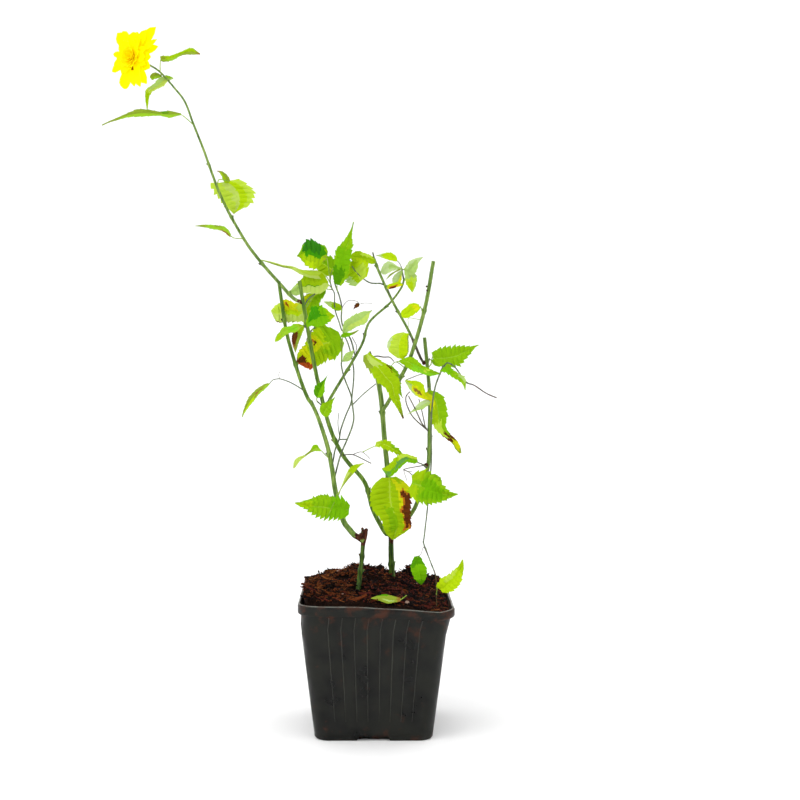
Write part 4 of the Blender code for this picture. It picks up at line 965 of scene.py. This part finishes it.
        "patches": (("teal", 0.25, 0.6, -0.3, 0.5), ("sun", -0.1, 0.45, -1.1, -0.3),
                    ("teal", 0.8, 1.1, 0.3, 1.1)),
        "outline": ((-4, -3, -7, -14, -11, -3, 6, 14, 10, 0), (6, 10, 12, 11, 16, 19, 18, 17, 11, 1))},
    "tipUpper": {"tints": ("lime", "lime", "lime"), "teeth": 0.05,
        "patches": (("sun", 0.15, 0.6, -1.1, -0.35),),
        "outline": ((0, 1, -2, -3, -3, -2, -3, 0, 0, 0), (3, 10, 15, 17, 18, 20, 23, 21, 12, 1))},
    "tipLower": {"tints": ("lime", "acid", "lime"), "teeth": 0.08,
        "patches": (("sun", 0.0, 0.6, -0.8, 0.1), ("pale", -0.1, 0.5, 0.55, 1.1)),
        "outline": ((16, 11, 7, 3, -1, 0, -4, -7, -13, -19), (34, 46, 59, 65, 67, 64, 56, 46, 33, 20))},
    "fallen": {"tints": ("olive", "olive", "olive"), "teeth": 0.05,
        "patches": (("mid", 0.4, 0.8, -1.1, -0.6), ("tan", -0.1, 0.14), ("pale", 0.2, 0.6, 0.1, 0.5)),
        "outline": ((-2, 2, 3, 5, 7, 4, 2, 1, 0, 0), (5, 9, 11, 13, 17, 17, 12, 8, 4, 1))},
}

# Sprays: name, the limb that carries it, its stems (bark, radius at foot and tip, way), and its leaves. The
# first stem grows from the limb, and the others from the stems before them. A leaf is its foot, its blade
# (heading, lean, length, width, turn), its look, and where its stalk starts if not at the nearest stem.
sprayRows = (
    ("flower_spray", "flower_shoot",
     (("cane", 0.65, 0.5,
       ((-107, -13, 363), (-111, -14, 374), (-117, -14, 382), (-125, -15, 391), (-131, -16, 395),
        (-137, -15, 398))),),
     (((-124.7, -15, 397.9), (8, 5, 23.4, 4.7, 20), "tip", (-124.5, -15, 392.2)),
      ((-122.8, -13, 388.3), (-118, 10, 21.2, 5.9, 10), "bent", (-124.1, -14, 391.1)),
      ((-124.8, -13, 388.9), (-174, 10, 6.5, 4, 10), "lobeLeft", (-124.1, -14, 391.1)),
      ((-124.7, -12, 387.5), (0, 5, 7, 3.9, 10), "lobeRight", (-124.1, -14, 391.1)),
      ((-113.5, -13, 366.9), (-172, 5, 45.9, 5.5, 30), "long", (-106.4, -13, 360.8)))),
    ("shoot_leaf_high", "flower_shoot",
     (("stalk", 0.32, 0.3, ((-92.5, -7, 329.4), (-89.8, -4, 329.1), (-87.1, 1, 328.3))),),
     (((-87.1, 1, 328.5), (-82, 12, 19.6, 22, 0), "broad", (-87.9, 0, 328.5)),
      ((-87, 0, 328), (138, 5, 9.7, 4.1, 10), "curl"))),
    ("shoot_leaf_low", "flower_shoot", (("stalk", 0.3, 0.26, ((-83.8, -10, 295.4), (-85.3, -10, 296.4))),),
     (((-85.7, -11, 296.6), (164, 5, 21.4, 3.4, 30), "olive"),)),
    ("crown_left_spray", "curved_side_cane",
     (("twig", 0.5, 0.42,
       ((-14.3, 14, 226.2), (-16.2, 14, 233.6), (-20.7, 15, 241.2), (-21.9, 15, 246.3), (-21.7, 16, 253.1),
        (-23.1, 17, 259.6), (-25, 17, 264.8), (-26.3, 17, 268.8))),
      ("twig", 0.42, 0.35,
       ((-21.5, 13, 239.3), (-23.4, 13, 245), (-25.1, 13, 249.8), (-25.9, 13, 254.4), (-25.9, 13, 261.3),
        (-27.5, 14, 264.6), (-28.6, 15, 268.9))),
      ("dead", 0.2, 0.16,
       ((-21.7, 15, 252.1), (-19.7, 15, 255.4), (-16.8, 14, 257.4), (-12.4, 14, 256.7), (-11.2, 14, 255.1))),
      ("dead", 0.15, 0.12, ((-11.3, 14, 255), (-7.6, 13, 255.8), (-3, 12, 255.4))),
      ("stalk", 0.4, 0.3, ((-27.7, 14, 274.3), (-26.1, 12, 276.5), (-23.6, 9, 277)))),
     (((-30.2, 12, 282.5), (175, 12, 18.2, 17.5, 10), "dark", (-28.6, 15, 268.9)),
      ((-24.2, 9, 267.1), (75, 5, 38.8, 10.1, 15), "upright", (-23.9, 16, 262.8)),
      ((-31, 15, 271.9), (166, 5, 40, 5.6, 30), "streak", (-27.4, 15, 267.1)),
      ((-29.5, 13, 266.9), (-169, 0, 24.2, 13.1, 20), "band", (-26.8, 14, 264.7)),
      ((-31.6, 15, 264.1), (-118, 0, 26.6, 12.2, 15), "fall", (-26.2, 14, 264.1)),
      ((-21.8, 15, 252.1), (157, 10, 11.5, 4.6, 15), "small", (-21.7, 15, 250.2)),
      ((-11.2, 14, 255.4), (-134, 5, 5.2, 2.6, 10), "dry"),
      ((-25.5, 22, 274), (150, -20, 17, 13, 15), "lime2", (-26.3, 17, 267)))),
    ("mid_top_spray", "cane_mid", (("twig", 0.45, 0.4, ((-41, 0, 259), (-37, 2, 262))),),
     (((-42.8, 9, 253.1), (-175, -8, 21.4, 14.1, 0), "spotted", (-38.2, 1, 263.7)),
      ((-41.4, -9, 243.4), (22, 15, 18.4, 12.9, 10), "centre", (-42.2, -4, 246.9)))),
    ("mid_upper_spray", "cane_mid", (("twig", 0.45, 0.4, ((-43.6, -6, 244),)),),
     (((-45.6, -8, 242.7), (-151, 5, 16.9, 5.4, 20), "twoGreens"),
      ((-43.7, -5, 243.7), (-107, -5, 17, 5.4, 15), "browned"))),
    ("thin_left_spray", "cane_left",
     (("twig", 0.55, 0.42,
       ((-25.7, -4, 151.7), (-25, -3, 155.3), (-22, -2, 166.2), (-18.2, 2, 174.8), (-15.5, 3, 181.7),
        (-14.3, 3, 187.2), (-14.8, 3, 193.2), (-15.9, 3, 201.1), (-18.7, 4, 208.3), (-20.5, 5, 213.3),
        (-21.7, 6, 219.1), (-21.3, 6, 222.1))),),
     (((-21.4, 9, 234.5), (-152, -4, 30.8, 22.2, 0), "yellow", (-21.7, 6, 219.1)),
      ((-20.7, 8, 238.2), (38, 5, 22.2, 8, 10), "paleWide"),
      ((-21.9, 8, 236.4), (19, 10, 11.6, 3, 20), "mid"),
      ((-20.3, 3, 221.8), (46, 10, 9.2, 4.9, 20), "paleLow", (-21.3, 6, 220.9)))),
    ("thin_back_shoot", "cane_left",
     (("twig", 0.5, 0.4,
       ((-27.5, -3, 157.6), (-26.8, 3, 161.5), (-25.7, 6, 167.7), (-23.3, 9, 173.9), (-22.4, 11, 179.2),
        (-19.4, 14, 187.7), (-16.5, 17, 194.3), (-15.5, 17, 200.8), (-14.6, 17, 210.1), (-14.8, 17, 217.1),
        (-16.8, 17, 227), (-18.7, 16, 233), (-20.9, 15, 237))),
      ("twig", 0.35, 0.3,
       ((-16.5, 17, 193.7), (-14.9, 17, 194.3), (-9.8, 18, 199.3), (-5.4, 19, 203), (-1.2, 20, 206.3))),
      ("twig", 0.28, 0.2, ((-23, 9, 175.2), (-24, 10, 183), (-23.5, 10, 189.7))),
      ("twig", 0.4, 0.4, ((-23.2, 8, 173.8), (-18.2, 2, 174.8))),
      ("dead", 0.28, 0.22,
       ((-13.1, 13, 223.3), (-13.1, 12, 226.8), (-12.7, 11, 230.3), (-15.4, 10, 235.6)))),
     ()),
    ("mid_lower_spray", "cane_mid", (("twig", 0.45, 0.4, ((-35.9, -6, 198.8),)),),
     (((-35.7, -9, 201.6), (64, 10, 15.7, 7, 20), "mid2"),
      ((-32.3, -6, 190.5), (57, 20, 14.4, 8, 20), "fresh", (-33.3, -4, 187.8)))),
    ("dry_twiglet", "cane_mid",
     (("dead", 0.35, 0.3, ((-20.8, 4, 164.9), (-14.6, 0, 165.7), (-6.3, -1, 161.9), (-3.8, -2, 160.8))),
      ("dead", 0.25, 0.18, ((-14.6, 0, 165.7), (-13.2, -1, 166.7), (-9, -2, 167.6), (-4.5, -3, 163.8)))),
     (((-1.6, 4, 170.4), (-16, 5, 17.2, 5.9, 15), "ragged", (-9, -2, 167.6)),)),
    ("side_left_leaf", "cane_left_side",
     (("twig", 0.4, 0.26,
       ((-48, 0, 207.1), (-51.9, -4, 209.8), (-55.4, -6, 211.4), (-58.3, -7, 212.2), (-61.8, -8, 211.6),
        (-63.5, -8, 209.8))),
      ("dead", 0.16, 0.12, ((-58, -7, 212.2), (-58.4, -7, 214.7), (-57.8, -7, 216.5)))),
     (((-64.1, -8, 209.3), (-129, 8, 25.3, 4, 15), "sickle"),)),
    ("left_mid_leaf", "cane_left", (("stalk", 0.3, 0.26, ((-30.9, -8, 166.7),)),),
     (((-33.4, -11, 169.9), (-148, 12, 19.5, 5.1, 15), "twisted"),)),
    ("left_low_spray", "cane_left",
     (("twig", 0.4, 0.35, ((-20, -17, 135),)),
      ("stalk", 0.22, 0.16, ((-23.3, -16, 144.3), (-25.7, -24.5, 140.1), (-28.6, -26, 133.8)))),
     (((-16.7, -19, 135.5), (171, 8, 32.3, 13.6, 10), "bright"),
      ((-23.1, -16, 144.2), (52, 10, 25, 4, 20), "narrow", (-25.2, -12, 140.9)))),
    ("curved_tip_spray", "curved_side_cane",
     (("twig", 0.55, 0.4, ((15.2, 25, 271.4), (14.6, 24, 275.6))),
      ("twig", 0.3, 0.24, ((14.6, 24, 275.6), (13.4, 24, 278.7), (11.6, 23, 280.8)))),
     (((11.6, 23, 280.8), (166, 8, 13.1, 5, 20), "lime"),
      ((14.3, 22, 276), (-171, 5, 12.9, 7, 15), "striped"),
      ((14.6, 24, 274.7), (-124, 5, 9.8, 5.7, 15), "stripedLow", (14.6, 24, 275.6)),
      ((13.4, 21, 275.6), (-144, 5, 10.5, 1, 15), "thread", (14.6, 24, 275.6)),
      ((16.4, 24, 275.3), (35, 5, 13.3, 8, 15), "paleTip", (14.6, 24, 275.6)),
      ((16.4, 23, 275.1), (-72, 0, 14.3, 7.7, 15), "paleDrop", (14.6, 24, 275.6)))),
    ("right_side_tip_spray", "cane_right_side",
     (("twig", 0.5, 0.35,
       ((1.7, 12, 267.6), (-4, 13, 267.8), (-8.2, 13, 270.1), (-12.9, 12, 274.4), (-15.3, 12, 278))),
      ("twig", 0.5, 0.45, ((-3, 17, 286),))),
     (((-1.3, 15, 280.3), (167, 5, 16, 7.4, 15), "tipUpper"),
      ((-8.5, 13, 270.2), (131, 0, 12.7, 17, 0), "tipLower"))),
    ("right_side_high_leaf", "cane_right_side", (("twig", 0.4, 0.35, ((5.4, 6, 265.2),)),),
     (((5.7, 5, 265.6), (11, 5, 9.4, 3.2, 10), "spot"),)),
    ("right_side_mid_leaf", "cane_right_side", (("twig", 0.45, 0.4, ((18.7, 0, 238.2),)),),
     (((18.1, -2, 238.7), (-103, 8, 15.6, 13.4, 10), "smooth"),)),
    ("back_side_high_leaf", "cane_back_side",
     (("stalk", 0.3, 0.26, ((26.3, -12, 253.3), (25.4, -13, 255.5))),
      ("stalk", 0.2, 0.14, ((18.7, -13.3, 248.7), (18.3, -13, 245.8), (18.3, -13, 242.5)))),
     (((25.1, -13, 254.9), (-161, 0, 11.8, 7.1, 15), "acid"),)),
    ("back_top_leaf", "cane_back",
     (("twig", 0.7, 0.5, ((-2, 14, 219), (-3, 6, 223), (-4.5, 2, 227.6))),
      ("dead", 0.45, 0.3,
       ((-2.1, 3, 224.5), (0.1, 4, 224.7), (3.2, 4, 224.1), (6.7, 3, 224.2), (8, 3, 223.6),
        (9.8, 2, 221.6)))),
     (((-5.3, 0, 226.9), (-62, 5, 44.2, 11.5, 10), "hanging"),)),
    ("back_side_low_leaf", "cane_back_side",
     (("stalk", 0.3, 0.26, ((17, 2, 217), (11.3, -2, 221.7), (8.3, -1, 219.5))),),
     (((13.1, -7, 222.8), (-17, 3, 25.7, 7.7, 15), "slender"),)),
    ("back_low_leaf", "cane_back", (("twig", 0.55, 0.5, ((6, 10, 153),)),),
     (((6.8, 2, 151.6), (-86, 12, 37.2, 24.6, 5), "burnt"),)),
    ("right_top_leaf", "cane_right", (("stalk", 0.35, 0.3, ((31.8, -2, 220.2),)),),
     (((32.7, -5, 225.3), (14, 0, 28.1, 12.9, 10), "rightTop"),)),
    ("right_upper_spray", "cane_right",
     (("twig", 0.3, 0.26, ((29.8, 0, 214.9), (25, -3, 214.2), (20.5, -4, 212.6), (17, -4, 211.2))),
      ("twig", 0.4, 0.35, ((30.1, -3, 206),))),
     (((16.7, -4, 211), (-38, 8, 18.7, 8.2, 10), "tanned"),
      ((30.3, -4, 204.6), (-63, -5, 42.7, 11.1, 5), "droop"),
      ((31.2, -6, 198.8), (-149, 5, 17.3, 4.6, 20), "pale", (31.3, 0, 197.5)))),
    ("right_twiglets", "cane_right",
     (("dead", 0.42, 0.34,
       ((29.3, 1, 180.9), (24.1, -4, 186), (20.2, -6, 190.6), (17.3, -7, 197.2), (17, -7, 201.6),
        (19.2, -7, 204.5))),
      ("dead", 0.45, 0.34, ((29.3, 1, 181.4), (26.5, -3, 185), (22.6, -8, 193.9), (18.4, -10, 202.4))),
      ("dead", 0.36, 0.28, ((28.6, 0, 181.9), (26.7, -2, 191.2), (24.6, -3, 199.7)))),
     ()),
    ("right_low_spray", "cane_right",
     (("twig", 0.4, 0.35, ((29.5, -2, 158.6), (26.5, -4, 160.7), (23.9, -5, 161.8))),
      ("dead", 0.32, 0.28,
       ((28.4, -1, 159.4), (21.7, -8, 159.5), (15.8, -11, 158.5), (18.7, -12, 157.1), (22.3, -12, 153.5))),
      ("dead", 0.2, 0.16, ((15.5, -10, 158.6), (16.4, -9, 154.9), (17.6, -8, 151.1))),
      ("dead", 0.18, 0.14, ((18.1, -12, 157.4), (19.3, -12, 157.7), (20.8, -12, 157)))),
     (((23.9, -5, 162.7), (-167, -5, 21.9, 8.3, 20), "folded"),
      ((20.5, -12, 151.1), (-14, 6, 28.2, 19.2, 5), "heart"))),
    ("thin_shoot_leaf", "thin_shoot", (("stalk", 0.3, 0.26, ((37.2, -17, 218.4),)),),
     (((37.4, -19, 218.4), (-39, 8, 18.3, 4.4, 15), "toothed"),)),
    ("thin_shoot_low_leaf", "thin_shoot",
     (("dead", 0.18, 0.15, ((27.2, -27, 114.9), (26, -27.5, 111.4), (24.6, -28, 109.7))),),
     (((23.7, -28, 109.7), (-83, -5, 17.6, 9.5, 10), "oval"),)),
    ("sprout_leaf", "thin_shoot", (("stalk", 0.3, 0.26, ((35.1, -33, 91.1),)),),
     (((35.2, -34, 92.5), (49, 6, 22.5, 10.4, 10), "sprout"),)),
    ("low_rear_leaf", "cane_back", (("twig", 0.5, 0.45, ((7, 25, 150),)),),
     (((8.5, 28, 146), (-95, -25, 26, 13, 10), "lime2"),)),
    ("top_rear_leaf", "cane_back", (("twig", 0.5, 0.45, ((0, 29, 211),)),),
     (((4, 31, 216), (-62, -20, 25, 10, 15), "fresh"),)),
    ("mid_rear_leaf", "cane_mid", (("twig", 0.5, 0.45, ((-40, 5, 239), (-38, 12, 241))),),
     (((-36, 15, 244), (-75, -20, 18, 9, 10), "lime2"),)),
    ("right_rear_leaf", "cane_right", (("twig", 0.5, 0.45, ((29, 9, 153),)),),
     (((31, 12, 151), (-48, -40, 17, 8, 10), "fresh"),)),
    ("left_rear_leaf", "cane_left", (("twig", 0.5, 0.45, ((-22, -3, 135),)),),
     (((-25, -2, 136), (177, -15, 22, 10, 15), "lime2"),)),
    ("right_top_rear_leaf", "cane_right", (("twig", 0.5, 0.45, ((31, 5, 223),)),),
     (((33, 8, 220.5), (3, -25, 19, 8, 20), "fresh"),)),
)
fallenLeaf = {"foot": (13.7, -40.2, 86.1), "blade": (176, 3, 17.3, 4.9, 45)}
barkOrder = {"stalk": stalkSkin, "twig": twigBark, "cane": caneBark, "dead": deadBark}


def makeSprays():
    barks = list(barkOrder)
    storeys = {"upper": (235, newBatch(), []), "middle": (180, newBatch(), []), "lower": (0, newBatch(), [])}
    twigs = newBatch()
    seed = 0
    for name, carrier, stems, blades in sprayRows:
        grown = []
        for k, (bark, first, last, way) in enumerate(stems):
            way = [Vector(p) for p in way]
            if k == 0:
                way = rooted(way[0], carried[carrier]) + way
            elif (way[0] - grown[nearestOn(grown, way[0])]).length > 0.3:
                holds = grown + carried[carrier][0]
                way = [holds[nearestOn(holds, way[0])]] + way
            line = smoothLine(way, 1.0)
            addTube(twigs, line, (first, last), 7, barks.index(bark))
            grown += line
        batch, nodes = next((batch, nodes) for low, batch, nodes in storeys.values() if grown[-1].z >= low)
        nodes.append(name)
        for base, (heading, lean, length, width, turn), look, *start in blades:
            seed += 1
            base = Vector(base)
            holds = grown + carried[carrier][0]
            start = holds[nearestOn(holds, Vector(start[0]) if start else base)]
            along = pointing(heading, lean)
            face = faceOf(along, turn)
            arch = leafLooks[look].get("arch", leafForm["arch"])
            inner = base + along * length * 0.05 + face * (arch * length * 0.19 - leafForm["thick"] / 2)
            middle = start.lerp(base, 0.55) + face * (base - start).length * 0.06
            addTube(twigs, smoothLine((start, middle, base - face * 0.2, inner), 0.8), (0.34, 0.26), 6, 0)
            addLeaf(batch, base, along, face, length, width, look, seed)
    base = Vector(fallenLeaf["foot"])
    heading, lean, length, width, turn = fallenLeaf["blade"]
    along = pointing(heading, lean)
    addLeaf(storeys["lower"][1], base, along, faceOf(along, turn), length, width, "fallen", seed + 1)
    addTube(twigs, [base + Vector((t, 0, 0.1 + t * 0.75)) for t in (3.6, 2.4, 1.2, -0.5)], (0.3, 0.26), 6, 0)
    storeys["lower"][2].append("fallen_leaf")
    for storey, (_, batch, nodes) in storeys.items():
        meshPiece("leaves_" + storey, batch, [leafFinish[t] for t in tintOrder], nodes)
    meshPiece("twigs", twigs, list(barkOrder.values()), [row[0] for row in sprayRows])


makeSprays()
print("leaves and twigs made")


# Flower. The outer petals are as in the photo: (angle in the flower's plane in degrees, length, half width,
# how blunt the end is). The inner whorls are dealt out: (petals, length, angle from the flower's axis in
# degrees). The profile is (place along a petal, share of its width), and the speck is a dark spot at that x
# and z.
flowerForm = {"at": (-139.8, -16, 399.5), "faces": (-0.55, -0.80, 0.12), "petalWidth": 6.2, "thick": 0.22,
              "speck": (-140.6, 392.4),
              "outer": ((135, 19.8, 3.4, 0.7), (121, 17.2, 3.8, 0.9), (99, 15.0, 3.8, 1.0),
                        (76, 14.6, 3.6, 0.9), (48, 22.4, 3.6, 0.5), (60, 17.6, 2.9, 0.6),
                        (27, 21.9, 1.7, 0.5), (17, 18.5, 2.3, 0.6), (-5, 14.4, 3.2, 0.8),
                        (-29, 14.9, 3.2, 0.8), (-50, 20.5, 2.9, 0.9), (-63, 19.9, 2.5, 0.9),
                        (-82, 17.4, 2.5, 0.8), (-110, 19.3, 4.4, 1.3), (-152, 16.8, 2.4, 1.0),
                        (-163, 15.0, 2.2, 1.0), (170, 16.8, 1.9, 1.0), (146, 12.6, 2.6, 0.8),
                        (-134, 12.4, 2.8, 0.8)),
              "whorls": ((12, 12.6, 74), (11, 11.0, 58), (9, 9.0, 40), (7, 6.6, 22)),
              "profile": ((0.06, 0.26), (0.22, 0.48), (0.42, 0.76), (0.62, 0.98), (0.8, 1.0), (0.93, 0.72),
                          (1.0, 0.2))}


def makeFlower():
    dealt = random.Random(7)
    batch = newBatch()
    axis = Vector(flowerForm["faces"]).normalized()
    heart = Vector(flowerForm["at"])
    speckX, speckZ = flowerForm["speck"]
    side = Vector((0, 0, 1)).cross(axis).normalized()
    other = axis.cross(side)
    petals = [(angle, dealt.uniform(80, 92), length, half, blunt, 0)
              for angle, length, half, blunt in flowerForm["outer"]]
    for row, (count, length, opening) in enumerate(flowerForm["whorls"]):
        for k in range(count):
            angle = 360 * (k + 0.5 * (row % 2)) / count + dealt.uniform(-9, 9)
            half = flowerForm["petalWidth"] / 2 * (0.5 + 0.5 * length / 17) * dealt.uniform(0.85, 1.1)
            petals.append((angle, opening + dealt.uniform(-8, 8), length * dealt.uniform(0.86, 1.0), half,
                           dealt.uniform(0.4, 0.9), row + 1))
    for angle, opening, long, half, blunt, row in petals:
        turned, tilt = math.radians(angle), math.radians(opening)
        toward = side * math.cos(turned) + other * math.sin(turned)
        out = axis * math.cos(tilt) + toward * math.sin(tilt)
        face = toward * -math.cos(tilt) + axis * math.sin(tilt)
        across = face.cross(out)
        curl = dealt.uniform(-0.02, 0.06) if row == 0 else dealt.uniform(0.0, 0.16)
        skew = dealt.uniform(-0.04, 0.04)
        top, low = [], []
        for place, share in flowerForm["profile"]:
            share = share ** max(0.3, 1.5 - blunt) if place > 0.7 else share
            for t in (-1, -0.7, -0.35, 0, 0.35, 0.7, 1):
                point = heart + out * long * (place - 0.05 * t * t * place) - axis * 0.5 * (row == 0)
                point += across * (half * share * t + skew * long * place * place)
                point += face * (0.3 * half * share * t * t - curl * long * place * place)
                top.append(point)
                low.append(point - face * flowerForm["thick"])
        shift, wide = len(top), 7
        rows = shift // wide
        faces, slots = [], []
        for i in range(rows - 1):
            # The inner whorls, and the feet of the inner petals, take the orange tints: painted shade towards
            # the heart
            shadeStep = (row > 2) + (row > 0 and i < 2)
            for j in range(wide - 1):
                a = i * wide + j
                spot = (top[a] + top[a + wide + 1]) / 2
                speck = abs(spot.x - speckX) < 0.7 and abs(spot.z - speckZ) < 1.1
                faces += [(a, a + wide, a + wide + 1, a + 1),
                          (a + shift, a + shift + 1, a + shift + wide + 1, a + shift + wide)]
                slots += [3 if speck else shadeStep, shadeStep]
            a = i * wide
            b = a + wide - 1
            faces += [(a, a + shift, a + shift + wide, a + wide), (b, b + wide, b + wide + shift, b + shift)]
            slots += [shadeStep, shadeStep]
        for j in range(wide - 1):
            b = (rows - 1) * wide + j
            faces += [(j, j + 1, j + 1 + shift, j + shift), (b, b + shift, b + shift + 1, b + 1)]
            slots += [0, 0]
        addTo(batch, top + low, faces, slots)
    skins = [leafFinish[t] for t in ("petal", "petalShade", "petalHeartShade", "petalSpeck")]
    meshPiece("petals", batch, skins, [])
    green = newBatch()
    cup = [heart - axis * back for back in (3.6, 2.8, 1.8, 0.6, -0.6)]
    addTube(green, cup, [0.5, 1.1, 1.9, 2.4, 1.6], 12, 0)
    meshPiece("flower_cup", green, [stalkSkin], [])


makeFlower()
print("flower made")


# Floor, light and camera

stageForm = {"floorHalf": 2.6, "rise": 2.4, "steps": 8, "bend": 0.9}


def makeStage():  # a round white floor that curves up into its backdrop, the same from every side
    deselect()
    bpy.ops.mesh.primitive_circle_add(vertices=96, radius=stageForm["floorHalf"], fill_type="NGON")
    floor = bpy.context.object
    floor.name = "studio_floor"
    bpy.ops.object.mode_set(mode="EDIT")
    bpy.ops.mesh.select_all(action="SELECT")
    bpy.ops.mesh.region_to_loop()
    radius, height, bend = stageForm["floorHalf"], 0.0, stageForm["bend"]
    for k in range(1, stageForm["steps"] + 2):
        angle = math.pi / 2 * min(k, stageForm["steps"]) / stageForm["steps"]
        nextRadius = stageForm["floorHalf"] + bend * math.sin(angle)
        nextHeight = bend * (1 - math.cos(angle)) + (stageForm["rise"] if k > stageForm["steps"] else 0)
        bpy.ops.mesh.extrude_edges_move(TRANSFORM_OT_translate={"value": (0, 0, nextHeight - height)})
        size = nextRadius / radius
        bpy.ops.transform.resize(value=(size, size, 1), center_override=(0, 0, nextHeight))
        radius, height = nextRadius, nextHeight
    bpy.ops.mesh.select_all(action="SELECT")
    bpy.ops.mesh.normals_make_consistent(inside=True)
    bpy.ops.object.mode_set(mode="OBJECT")
    floor.data.shade_smooth()
    paper, _, _ = newMaterial("seamlessPaper", "#fbfbfb", {"Roughness": 0.9, "Specular IOR Level": 0.1})
    floor.data.materials.append(paper)


def addLight(name, place, target, size, power):
    data = bpy.data.lights.new(name, "AREA")
    data.shape = "DISK"
    data.size = size
    data.energy = power
    light = bpy.data.objects.new(name, data)
    light.location = place
    light.rotation_euler = (Vector(target) - Vector(place)).to_track_quat("-Z", "Y").to_euler()
    bpy.context.scene.collection.objects.link(light)


makeStage()
world = bpy.data.worlds.new("studioSky")
world.use_nodes = True
world.node_tree.nodes["Background"].inputs["Color"].default_value = (1, 1, 1, 1)
world.node_tree.nodes["Background"].inputs["Strength"].default_value = 1.35
bpy.context.scene.world = world
addLight("key", (-1.1, -1.0, 1.7), (0, 0, 0.2), 1.5, 10)

# Where the camera stood, worked out from the pot: in millimetres, degrees and the lens on a 36 mm sensor
cameraSpot = {"right": 13.4, "back": 1126.0, "high": 331.0, "down": 6.7, "lens": 85.5}
camera = bpy.data.objects.new("camera", bpy.data.cameras.new("camera"))
camera.data.lens = cameraSpot["lens"]
camera.data.sensor_width = 36.0
camera.location = (cameraSpot["right"] * mm, -cameraSpot["back"] * mm, cameraSpot["high"] * mm)
camera.rotation_euler = (math.radians(90 - cameraSpot["down"]), 0, 0)
bpy.context.scene.collection.objects.link(camera)
bpy.context.scene.camera = camera
bpy.context.scene.view_settings.view_transform = "Standard"
print("stage set")
